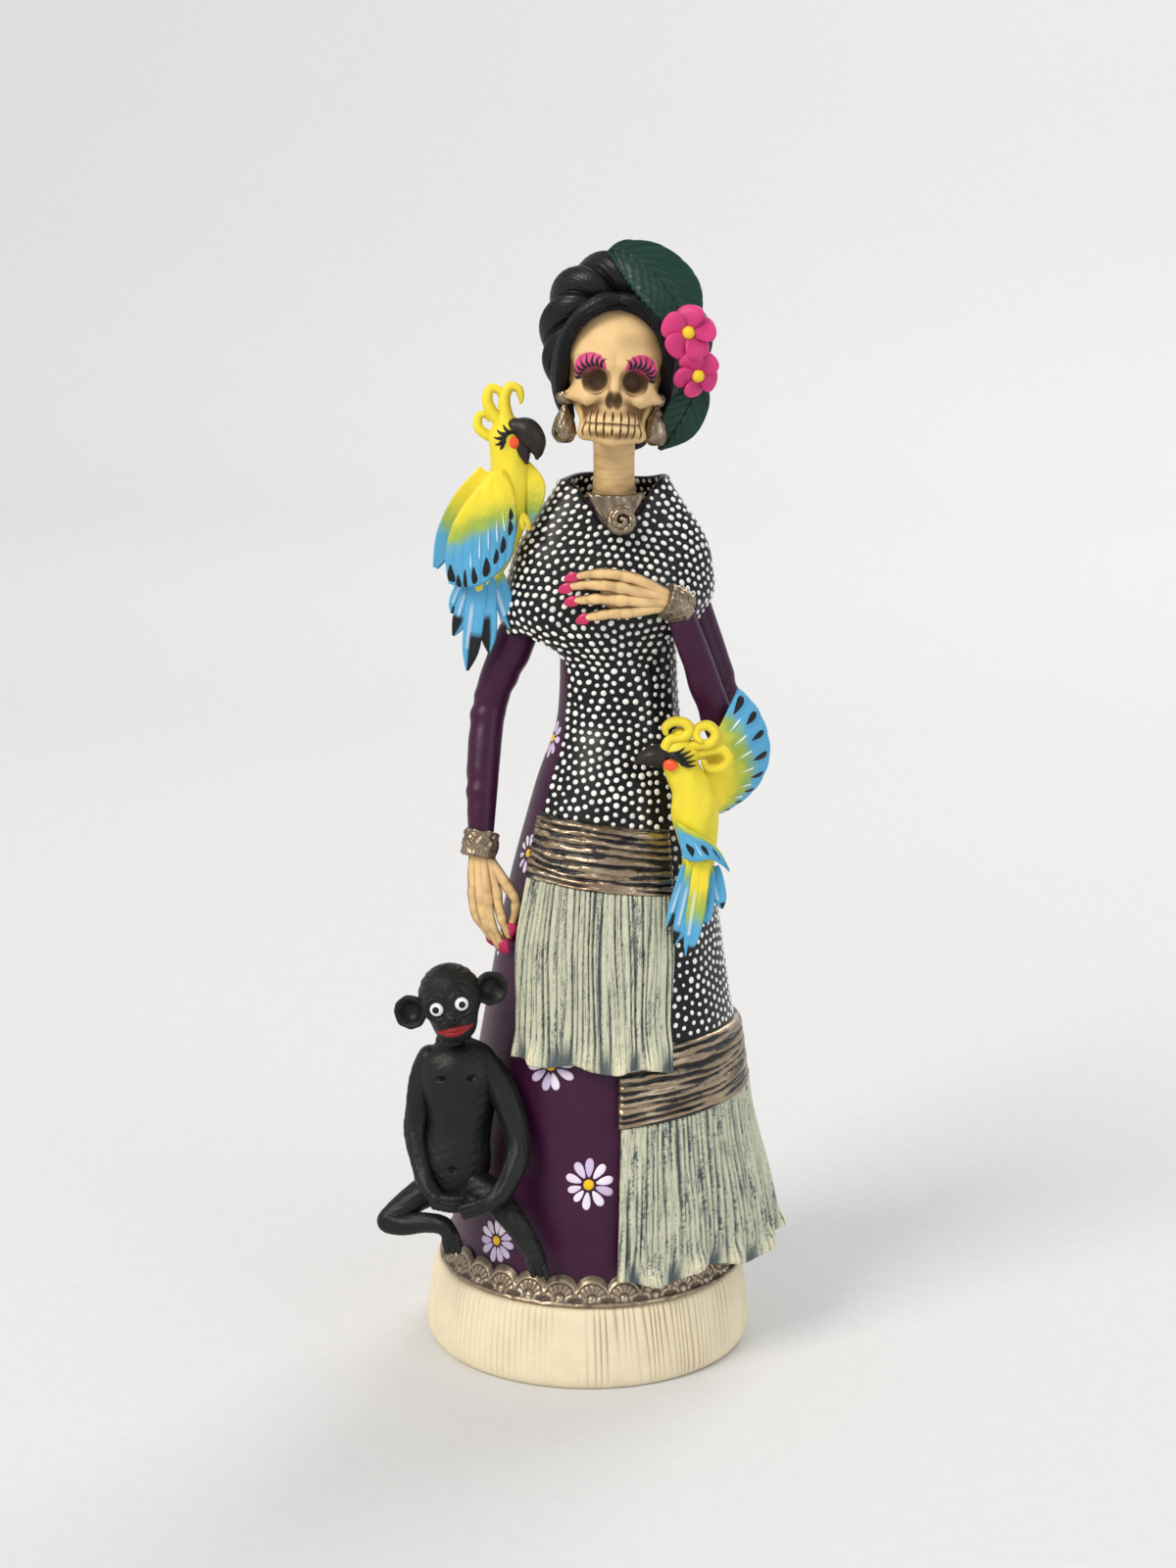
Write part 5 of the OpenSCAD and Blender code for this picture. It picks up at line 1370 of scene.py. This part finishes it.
curls("shoulder_parrot_curls", "shoulder_parrot_crest", [
    [[-16.4, -6.5, 219.2, 1.7], [-18.4, -6.6, 221.6, 1.6], [-19, -6.4, 225.6, 1.35],
     [-17.8, -6.4, 228.4, 1.15], [-15.8, -6.5, 228, 1.0], [-15.2, -6.6, 226, 0.7],
     [-15.3, -6.7, 224.8, 0.3]],
    [[-18.6, -6.2, 219.6, 1.7], [-21, -6.2, 221.6, 1.5], [-22.9, -6, 225.2, 1.3],
     [-22.2, -6, 228, 1.1], [-20.2, -6, 227.6, 0.95], [-19.5, -6, 225.4, 0.6], [-19.6, -6, 224.2, 0.3]],
    [[-20.2, -5.8, 217, 1.5], [-22.9, -5.8, 217.6, 1.3], [-25, -5.8, 219.4, 1.15],
     [-24.9, -5.8, 221.8, 1.0], [-23.4, -5.8, 222.2, 0.8], [-22.6, -5.9, 221, 0.35]]])
ball = (-18.3, -6.2, 216.6)
lash_set("shoulder_parrot_lashes", ball, 4.6, [
    [[-15.2, 217.2], [-16.6, 218.4], [-18, 218.4], [-19.3, 217.2]],
    [[-16.6, 218.3], [-17.2, 219.4], [-17.4, 220.3]], [[-17.6, 218.3], [-18.6, 219], [-19.2, 220]],
    [[-18.4, 217.9], [-19.8, 218.2], [-20.6, 218.9]], [[-18.8, 217.4], [-20.2, 217], [-21.3, 217.2]],
    [[-19, 216.8], [-20, 215.8], [-21, 215.6]], [[-19, 216.4], [-19.6, 214.8], [-20.2, 213.9]]])
eye = pebble(on_ball(ball, 4.1, [[-16.9, 214.6]])[0] + (0, -0.45, 0), (0, -0.05, 1), (1, 0, 0), 2.9,
             2.8, 1.4)
near_left = [[-32.0, 184.3], [-32.6, 190], [-31.2, 196.8], [-27.2, 203.6], [-21.8, 209.8]]
near_right = [[-17.2, 191.0], [-16.1, 196.8], [-16.2, 201.6], [-17.0, 206.0], [-19.0, 210.2]]


def near_wing(s, t, out=0.0):
    """Wing over the body: t rises from the rounded lower edge to the shoulder."""
    s, t = np.broadcast_arrays(np.asarray(s, float), np.asarray(t, float))
    p = mix(smooth(near_left, t), smooth(near_right, t), s)
    sag = 3.6 * np.sin(np.pi * np.clip(s, 0, 1)) ** 0.8 * (1 - np.clip(t, 0, 1)) ** 2.2
    y = -12.4 + 3.4 * (s - 0.55) ** 2 + 2.0 * np.maximum(t - 0.6, 0) + 1.2 * (1 - t) ** 2 - out
    return np.stack([p[..., 0] + 0.15 * sag, y, p[..., 1] - sag], -1)


drops = [(s, t, 0.25 * (s - 0.4), -1, 1.15 * size, size * 0.66) for s, t, size in (
    (0.06, 0.12, 4.0), (0.16, 0.07, 3.0), (0.26, 0.085, 3.8), (0.38, 0.1, 3.6), (0.56, 0.13, 4.2),
    (0.7, 0.17, 3.4), (0.8, 0.22, 3.6), (0.9, 0.33, 3.4), (0.91, 0.47, 2.8))]
streaks = [(s, t, 0.3 * (s - 0.4), -1, size, 0.42) for s, t, size in (
    (0.34, 0.22, 4.4), (0.46, 0.3, 6), (0.58, 0.34, 6.4), (0.7, 0.38, 6.2), (0.8, 0.42, 4.8))]
wing("shoulder_parrot_near_wing_scored", "shoulder_parrot_near_wing", near_wing,
     lambda s, t: 1.9 * (0.62 - t + 0.1 * np.sin(3 * s)), 1.5, drops, streaks,
     lambda s, t: -0.2 * ease((0.5 - t) / 0.2) * np.cos(np.pi * 8 * s) ** 6)
far_wing = blade([[-23.4, -4, 209.5, 1.8], [-28, -4.5, 202, 3.4], [-32, -5, 194, 3.2],
                  [-35.2, -5.4, 187.2, 0.7]], (-0.2, -1, 0), 0.05)
wing("shoulder_parrot_far_wing_scored", "shoulder_parrot_far_wing",
     lambda s, t, out=0.0: far_wing(2 * np.asarray(s) - 1, 1 - np.asarray(t, float), -out),
     lambda s, t: 1.8 * (0.72 - t), 1.5, [(0.6, 0.07, 0, -1, 2.6, 1.3)], [],
     lambda s, t: 0 * s)
back_wing = blade([[-14.2, -7, 211.2, 1.0], [-12.0, -7.6, 206.5, 2.2], [-12.4, -8, 201.6, 1.8],
                   [-13.6, -8, 197.6, 0.4]], (0.3, -1, 0), 0.05)
wing("shoulder_parrot_back_wing", None,
     lambda s, t, out=0.0: back_wing(2 * np.asarray(s) - 1, 1 - np.asarray(t, float), -out),
     lambda s, t: 0.9 * (0.75 - t), 1.5, [], [], lambda s, t: 0 * s)
toes = [limb([[-14.6, -11.4, 199.4, 0.9], [-14.2 + d, -12.6, 198.2, 0.75], [-13.9 + d, -13, 196.8, 0.45]],
             16, 14)[0] for d in (-0.7, 0.5)]
piece("shoulder_parrot_foot", toes, feather_paint,
      paint=[linear("#d8c233")] * len(toes))
tail("shoulder_parrot_tail_fan", "shoulder_parrot_tail", [
    (feather((-27.2, -6.8, 186.5), (-31.6, -6.2, 176.8), 1.9), -0.4, 0.28),
    (feather((-26.4, -7.4, 186.5), (-31.2, -6.8, 171.6), 2.1, bend=(1, 0, 0)), -0.4, 0.4),
    (feather((-25.2, -8.2, 186.5), (-28, -7.6, 163.6), 2.3, bend=(0.6, 0, 0)), -0.4, 0.45),
    (feather((-23.4, -8.0, 186.5), (-22.9, -7.6, 167.8), 2.2), -0.4, 0.5),
    (feather((-22.2, -7.2, 187.5), (-17.9, -6.4, 173.4), 2.2, bend=(0.8, 0, 0)), 0.3, 0.35)], 220)

# Hip parrot, head towards her front and one wing raised
path = [[20.9, -23, 150.4, 2.4], [20.6, -23, 147.4, 4.2], [21.4, -23.2, 143.4, 4.0],
        [23.4, -23.6, 138.6, 4.6], [24.4, -24, 133.4, 5.3], [24.9, -24, 128.4, 4.7],
        [25.2, -24.2, 123.6, 3.8], [24.6, -24.6, 116, 3.2], [23.8, -25.2, 111, 1.6]]
shape, a, t = body(path, 231)
x, y, z = np.moveaxis(shape, -1, 0)
blue = 0.95 * ease((121 - z) / 9 + 0.35 - 0.14 * (x - 22))
piece("hip_parrot_roll", shape, feather_paint, ["hip_parrot_body"],
      plumage(np.where(z > 124, 0.04, blue) + 0.05 * wander(a, t * 6, 232)))
beak = limb([[16.6, -23.6, 146.4, 3.3], [14.6, -24.2, 146.4, 3.1], [12.5, -24.6, 145.9, 2.0],
             [10.8, -24.8, 145.0, 0.6]], 50, 40, side=(0, 1, 0), flat=0.8)[0]
piece("hip_parrot_beak_pinched", beak, beak_paint, ["hip_parrot_beak"])
curls("hip_parrot_curls", "hip_parrot_crest", [
    [[17.6, -24.6, 148.2, 1.5], [18.6, -24.8, 150.2, 1.3], [21.4, -24.8, 150.7, 1.2],
     [23.0, -24.7, 152.4, 1.2], [21.8, -24.6, 154.2, 1.15], [19.2, -24.6, 154.4, 1.1],
     [17.5, -24.7, 153.2, 1.0], [17.5, -24.9, 151.9, 0.65]],
    [[21.4, -23.8, 148.4, 1.5], [24.6, -24.2, 149.0, 1.3], [27.6, -24.2, 149.3, 1.25],
     [28.9, -24.1, 151.5, 1.2], [27.2, -24, 153.4, 1.2], [24.9, -24.1, 152.9, 1.1],
     [24.3, -24.9, 151.2, 1.0], [25.2, -25.6, 150.2, 0.7]],
    [[23.4, -23, 146.2, 1.5], [27.2, -23.2, 147.4, 1.3], [30.4, -23.2, 147.6, 1.25],
     [31.7, -23.1, 145.6, 1.2], [30.2, -23, 143.6, 1.15], [27.4, -23.2, 143.6, 1.1],
     [26.3, -23.8, 145, 0.8]]])
ball = (20.9, -23.2, 146.2)
lash_set("hip_parrot_lashes", ball, 4.75, [
    [[16.9, 146.9], [18.4, 147.0], [20.2, 146.1], [21.8, 144.7]],
    [[18.2, 147.3], [20.2, 147.9], [21.8, 148.9]], [[19, 147.1], [21.2, 147.3], [23.2, 148.2]],
    [[19.8, 146.6], [21.8, 146.5], [23.9, 147.2]], [[20.6, 146], [22.4, 145.6], [24.3, 145.9]],
    [[21.2, 145.3], [22.8, 144.7], [24.4, 144.7]]])
hip_eye = pebble(on_ball(ball, 4.3, [[18.1, 145.0]])[0] + (-1.2, -0.5, 0), (1, -0.35, -0.05),
                 (0, 0.2, 1), 3.4, 2.6, 1.3)
piece("parrot_eye_discs", [eye, hip_eye], eye_paint, ["parrot_eyes"])
rim_line = [[31.0, 131.0], [36.0, 134.0], [40.0, 138.4], [42.0, 144.4], [41.2, 150.6],
            [38.6, 156.0], [34.6, 160.2]]


def raised_wing(t, s, out=0.0):
    """Fan from the shoulder, t = 0, to the outer edge, t = 1; s climbs round that edge."""
    t, s = np.broadcast_arrays(np.asarray(t, float), np.asarray(s, float))
    far = smooth(rim_line, s)
    near = mix(np.array([25.4, 132.0]), np.array([26.8, 147.0]), s)
    scallop = 0.012 * np.abs(np.sin(np.pi * 8 * s)) * (t > 0.5)
    p = mix(near, far, t + scallop)
    y = -21.0 + 8.2 * t - 1.6 * np.sin(np.pi * np.clip(t, 0, 1)) + 1.6 * s * t - out
    return np.stack([p[..., 0], y, p[..., 1]], -1)


drops = [(t, s, 1, 0.12 * (s - 0.5), 1.4 * size, size * 0.68) for t, s, size in (
    (0.82, 0.93, 4.0), (0.84, 0.80, 3.5), (0.85, 0.67, 3.2), (0.84, 0.53, 3.4), (0.85, 0.40, 3.0),
    (0.86, 0.28, 2.4), (0.86, 0.17, 2.2), (0.88, 0.08, 1.8))]
streaks = [(t, s, 1, 0, size, 0.5) for t, s, size in (
    (0.62, 0.86, 4.4), (0.6, 0.73, 4.6), (0.62, 0.6, 4.4), (0.66, 0.47, 4.2), (0.72, 0.34, 3.8),
    (0.74, 0.23, 3))]
wing("hip_parrot_raised_wing_scored", "hip_parrot_raised_wing", raised_wing,
     lambda t, s: 1.5 * (t - 0.5 + 0.28 * s), 1.5, drops, streaks,
     lambda t, s: -0.22 * ease((t - 0.3) / 0.3) * np.cos(np.pi * 8 * s) ** 6, seed=240)
fold_low = [[21.4, 123.9], [24.4, 123.2], [27.6, 123.6], [30.4, 121.8], [32.2, 119.8]]
fold_top = [[19.4, 132.6], [22.8, 130.8], [26.4, 128.8], [29.8, 125.4], [32.3, 120.4]]


def folded_wing(s, t, out=0.0):
    """Folded wing across the belly: a band that narrows to its tip at the right."""
    s, t = np.broadcast_arrays(np.asarray(s, float), np.asarray(t, float))
    p = mix(smooth(fold_low, s), smooth(fold_top, s), t)
    return np.stack([p[..., 0], -29.9 + 0.075 * (p[..., 0] - 24.4) ** 2 - out, p[..., 1]], -1)


wing("hip_parrot_folded_wing_scored", "hip_parrot_folded_wing", folded_wing,
     lambda s, t: 1.15 - 0.95 * ease((t - 0.45) / 0.6), 1.4,
     [(0.2, 0.34, -0.02, 1, 3.0, 2.9), (0.45, 0.38, -0.2, 1, 2.8, 1.9),
      (0.66, 0.5, -0.5, 1, 3.0, 0.9)], [(0.33, 0.4, 0.2, -1, 3.4, 0.4)],
     lambda s, t: 0 * s, seed=250)
tail("hip_parrot_tail_fan", "hip_parrot_tail", [
    (feather((28.6, -24.4, 121), (30.6, -26, 111.4), 1.7), -0.2, 0.25),
    (feather((27.0, -25.4, 122), (26.9, -27.2, 107.8), 1.9), 0.2, 0.12),
    (feather((22.8, -26.4, 122), (18.0, -27.4, 107.4), 2.0, bend=(1.2, 0, 0)), 0.05, 0.34),
    (feather((24.0, -27.0, 123), (19.6, -28, 103.6), 2.1, bend=(1.4, 0, 0)), 0.3, 0.26),
    (feather((25.6, -27.4, 123), (22.4, -28.4, 100.8), 2.1, bend=(1.0, 0, 0)), 0.55, 0.22)], 260)

# ---------------------------------------------------------------- monkey
# A spider monkey of black clay sitting against the skirt, with long arms and legs rolled thin.
# It is left with the marks of the modelling tool, and only eyes and lips are painted.

monkey_clay = painted_clay("charcoal_black_tooled_clay", "#161817", roughness=0.44, uneven=0.25,
                           grain=0.55, dent=0.1)
MONKEY = np.array([-31.4, -27.0, 89.6])
LEAN_HEAD = radians(13)


def monkey_place(q):
    """Places in the monkey's upright head moved to the figure: the head tips to its left."""
    x, y, z = np.moveaxis(np.asarray(q, float), -1, 0)
    return MONKEY + np.stack([x * np.cos(LEAN_HEAD) - z * np.sin(LEAN_HEAD), y,
                              z * np.cos(LEAN_HEAD) + x * np.sin(LEAN_HEAD)], -1)


def monkey_form(p):
    """Distance to the monkey's head: round skull, brow, muzzle, nose and eye rings."""
    q = np.concatenate([np.abs(p[..., :1]), p[..., 1:]], -1)
    d = oval(q, (0, 1.2, 1.4), (7.3, 7.4, 7.4))
    d = join(d, oval(q, (0, -2.2, -4.6), (5.0, 4.6, 4.4)), 2.5)
    ring = np.hypot(np.hypot(q[..., 0] - 2.95, q[..., 2] - 0.6) - 2.55, q[..., 1] + 6.0) - 0.42
    d = join(d, ring, 0.7)
    d = carve(d, oval(q, (2.95, -7.4, 0.6), (2.0, 1.7, 2.0)), 0.5)
    d = join(d, oval(q, (0, -6.5, -2.2), (1.5, 1.3, 1.3)), 0.9)
    d = join(d, rod(q, (0.9, -6.9, -2.7), (1.5, -6.3, -2.4), 0.55), 0.5)
    d = carve(d, oval(q, (0.75, -8.1, -2.5), (0.42, 1.1, 0.5)), 0.2)
    groove = 0.1 * np.sin(9 * np.arctan2(q[..., 0], 7.5 - p[..., 2]) * 3) * ease((p[..., 2] - 2.6) / 2)
    return d + groove


on_monkey = from_middle(np.array([0, 0, 0]), monkey_form, 12)
u, v = np.meshgrid(np.linspace(-180, 180, 230, endpoint=False), 90 * np.linspace(-1, 1, 126))
neck = limb([[-31.2, -24.4, 85, 3.4], [-31.2, -24.2, 80.5, 3.2], [-31.2, -24.2, 76, 4.2]], 40, 48)[0]
piece("monkey_head_modelled", [monkey_place(on_monkey(u, v)), neck], monkey_clay, ["monkey_head"])
for name, place, turn in (("right", (-40.6, -25.2, 86.9), (-0.25, -1, 0.1)),
                          ("left", (-22.6, -24.6, 92.4), (0.3, -1, 0.1))):
    ear = turned([[0, -0.7], [1.2, -0.55], [2.2, 0.2], [3.0, 1.5], [3.6, 1.7], [3.95, 1.0],
                  [3.6, -0.6], [2.2, -1.4], [0, -1.6]], place, turn, 48, hammered(270, 0.1, 2))
    piece(f"monkey_{name}_ear_cup", ear, monkey_clay, ["monkey_ears"] if name == "right" else ())
white_ball, pupil = [], []
for x in (-2.95, 2.95):
    at = monkey_place([x, -5.7, 0.6])
    white_ball.append(turned(smooth([[0, -1], [1.35, -0.8], [1.6, 0], [1.3, 0.62], [0.8, 0.9],
                                     [0, 1.0]], np.linspace(0, 1, 24)), at, (0.05 * x, -1, 0.05),
                             40))
    pupil.append(turned([[0, 0.5], [0.76, 0.6], [0.8, 0.95], [0.5, 1.08], [0, 1.12]], at,
                        (0.05 * x, -1, 0.05), 32))
eye_white = painted_clay("white_eye_enamel", "#f4f4f0", roughness=0.25, uneven=0.03, coat=0.4)
piece("monkey_eye_whites", white_ball, eye_white, ["monkey_eyes"])
piece("monkey_pupils", pupil, spot_paint)
lip = []
for z0, sag, r in ((-4.75, 0.25, 0.62), (-5.75, 0.55, 0.62)):
    x = np.linspace(-4.1, 4.1, 9)
    height = z0 + sag * (x / 4.1) ** 2 - (z0 + 5.25) * (x / 4.1) ** 2
    path = np.stack([x, -6.75 + 0.105 * x ** 2 + 0.1, height], -1)
    lip.append(limb(np.c_[monkey_place(path), r * (1.02 - (x / 4.2) ** 2 * 0.7)], 60, 20,
                    side=(0, 0, 1))[0])
lip_paint = painted_clay("dark_red_lip_paint", "#8a1b1d", roughness=0.35, uneven=0.1)
piece("monkey_lip_rolls", lip, lip_paint, ["monkey_lips"])


def dents(places, seed):
    """Tool marks over a roll, and round dents at places (angle, along, size, depth)."""
    def relief(a, t):
        total = 0.16 * wander(a * 1.1, t * 4, seed) + 0.05 * wander(a * 5, t * 24, seed + 1)
        for angle, along, size, depth in places:
            swing = (a - angle + np.pi) % (2 * np.pi) - np.pi
            total = total - depth * np.exp(-(swing / size) ** 2 - ((t - along) / (size * 0.19)) ** 2)
        return total
    return relief


torso = [[-31.2, -23.4, 79.5, 4.2], [-30.8, -23.8, 76.6, 8.2], [-30.2, -24.2, 72, 9.6],
         [-29.9, -24.8, 66, 8.6], [-30.2, -25.6, 58.5, 7.6], [-30.9, -26.6, 51, 8.2],
         [-31.2, -27.4, 46.4, 7.4]]
shape, a, t = limb(torso, 160, 110, side=(1, 0, 0), flat=0.74,
                   relief=dents([(1.95, 0.33, 0.09, 1.9), (1.2, 0.345, 0.09, 1.9),
                                 (1.62, 0.86, 0.1, 1.6)], 281))
piece("monkey_body_roll", shape, monkey_clay, ["monkey_torso"])
limbs = {
    "right_arm": [[-36.4, -24.4, 75.4, 3.2], [-38.5, -24.8, 70, 3.1], [-39.7, -25.6, 63, 2.7],
                   [-40.0, -26.6, 58, 2.6], [-38.6, -30, 51.8, 2.4], [-37.0, -33.2, 47.4, 2.1],
                   [-34.6, -35.4, 45.4, 1.9]],
    "left_arm": [[-24.2, -25, 74.4, 3.4], [-20.4, -26.6, 69.6, 3.4], [-17.2, -29.6, 62.6, 3.1],
                  [-16.0, -32.4, 56.4, 2.9], [-17.6, -35.8, 51.2, 2.6], [-19.8, -38, 47.6, 2.3],
                  [-22.6, -38.8, 45.4, 2.0]],
    "right_leg": [[-35, -28, 46, 3.8], [-40.4, -29.4, 42.8, 3.3], [-45.4, -30.8, 39.2, 2.8],
                   [-45.8, -31.4, 38.2, 2.6], [-42.2, -32.8, 38.2, 2.5], [-37.4, -34.4, 39.2, 2.3],
                   [-33.4, -36, 39.0, 2.1], [-31.4, -37.2, 36.8, 1.8]],
    "left_leg": [[-26.4, -29, 46.6, 3.9], [-21.4, -32.4, 44.2, 3.4], [-17.2, -35.8, 40.4, 2.9],
                  [-14.6, -37, 36.6, 2.6], [-12.8, -37.8, 33.8, 2.5], [-11.8, -39, 31.6, 2.2]]}
digits = {
    "right_arm": [([-35, -35.4 - 0.3 * k, 45.2 - 0.9 * k], [-31.6, -36.8, 45.0 - 1.1 * k],
                   [-28.9 - 0.5 * k, -37.0, 45.2 - 1.3 * k]) for k in (-0.6, 0.4, 1.4)],
    "left_arm": [([-22.4, -39, 45.8 - 0.9 * k], [-25.8, -39.6, 44.8 - 1.0 * k],
                  [-28.6 + 0.5 * k, -39.4, 43.8 - 1.1 * k]) for k in (-0.7, 0.3, 1.2)],
    "right_leg": [([-31.5 + 1.0 * k, -37.4, 37.0], [-31.2 + 1.2 * k, -38, 35.2],
                   [-31 + 1.3 * k, -38, 33.6]) for k in (-1, 0, 1)],
    "left_leg": [([-12 + 1.1 * k, -39.2, 31.8], [-11.4 + 1.35 * k, -40.2, 30.2],
                  [-11 + 1.5 * k, -40.7, 29.0]) for k in (-1, 0, 1)]}
for k, (name, path) in enumerate(limbs.items()):
    rolls = [limb(path, 130, 56, side=(0, 1, 0), relief=dents([], 290 + k))[0]]
    for points in digits[name]:
        rolls.append(limb([[*p, r] for p, r in zip(points, (1.15, 1.0, 0.75))], 24, 18,
                          relief=lambda a, t: 0.05 * np.cos(40 * t))[0])
    piece(f"monkey_{name}_roll", rolls, monkey_clay, [f"monkey_{name}"])

# ---------------------------------------------------------------- floor, light and camera
# A plain pale table and three soft studio lights; the camera stands a little above her head.

stage = bpy.data.materials.new("pale_matt_table")
stage.use_nodes = True
shader = stage.node_tree.nodes["Principled BSDF"]
grain = add(stage, "ShaderNodeTexNoise",
            {"Vector": add(stage, "ShaderNodeTexCoord").outputs["Object"], "Scale": 250.0})  # grain of 4 mm
tone = add(stage, "ShaderNodeMapRange", {"Value": grain.outputs["Fac"], "To Min": 0.66,
                                         "To Max": 0.71})
stage.node_tree.links.new(tone.outputs["Result"], shader.inputs["Base Color"])
shader.inputs["Roughness"].default_value = 0.8
t = np.linspace(0, 1, 60)
sweep = smooth([[-3.0, 0], [-1.5, 0], [0, 0], [0.7, 0], [1.3, 0.05], [1.9, 0.5], [2.1, 3.0]], t)
backdrop = np.stack(np.broadcast_arrays(np.array([-3.0, 3.0])[:, None], sweep[None, :, 0],
                                        sweep[None, :, 1]), -1)
mesh = bpy.data.meshes.new("table")
ids = np.arange(120).reshape(2, 60)
mesh.from_pydata(backdrop.reshape(-1, 3).tolist(), [],
                 np.stack([ids[0, :-1], ids[1, :-1], ids[1, 1:], ids[0, 1:]], -1).tolist())
mesh.polygons.foreach_set("use_smooth", [True] * len(mesh.polygons))
mesh.materials.append(stage)
table = bpy.data.objects.new("table", mesh)
bpy.context.scene.collection.objects.link(table)


def lamp(name, place, aim, power, size, colour="#ffffff"):
    """Square soft light at place, turned towards aim."""
    data = bpy.data.lights.new(name, "AREA")
    data.energy, data.size, data.color = power, size, linear(colour)
    thing = bpy.data.objects.new(name, data)
    thing.location = place
    thing.rotation_euler = (Vector(aim) - Vector(place)).to_track_quat("-Z", "Y").to_euler()
    bpy.context.scene.collection.objects.link(thing)


middle = (0, 0, 0.13)
lamp("key_light", (-1.5, -1.4, 1.9), middle, 44, 1.1, "#fff8ef")
lamp("fill_light", (2, -1.8, 0.9), middle, 12, 1.4, "#eef3ff")
lamp("back_light", (0.9, 1.4, 1.7), middle, 18, 1.1)
world = bpy.data.worlds.new("studio")
world.use_nodes = True
world.node_tree.nodes["Background"].inputs["Color"].default_value = (*linear("#f2f3f5"), 1)
world.node_tree.nodes["Background"].inputs["Strength"].default_value = 0.7
bpy.context.scene.world = world

base_middle = (Vector(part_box("underskirt")[0]) + Vector(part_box("underskirt")[1])) / 2
view = bpy.data.cameras.new("camera")
view.lens, view.sensor_width = 54, 36
camera = bpy.data.objects.new("camera", view)
camera.location = (base_middle.x, base_middle.y - 0.548, 0.239)
camera.rotation_euler = (radians(90 - 10.7), 0, 0)
bpy.context.scene.collection.objects.link(camera)
bpy.context.scene.camera = camera
bpy.context.scene.view_settings.view_transform = "Standard"
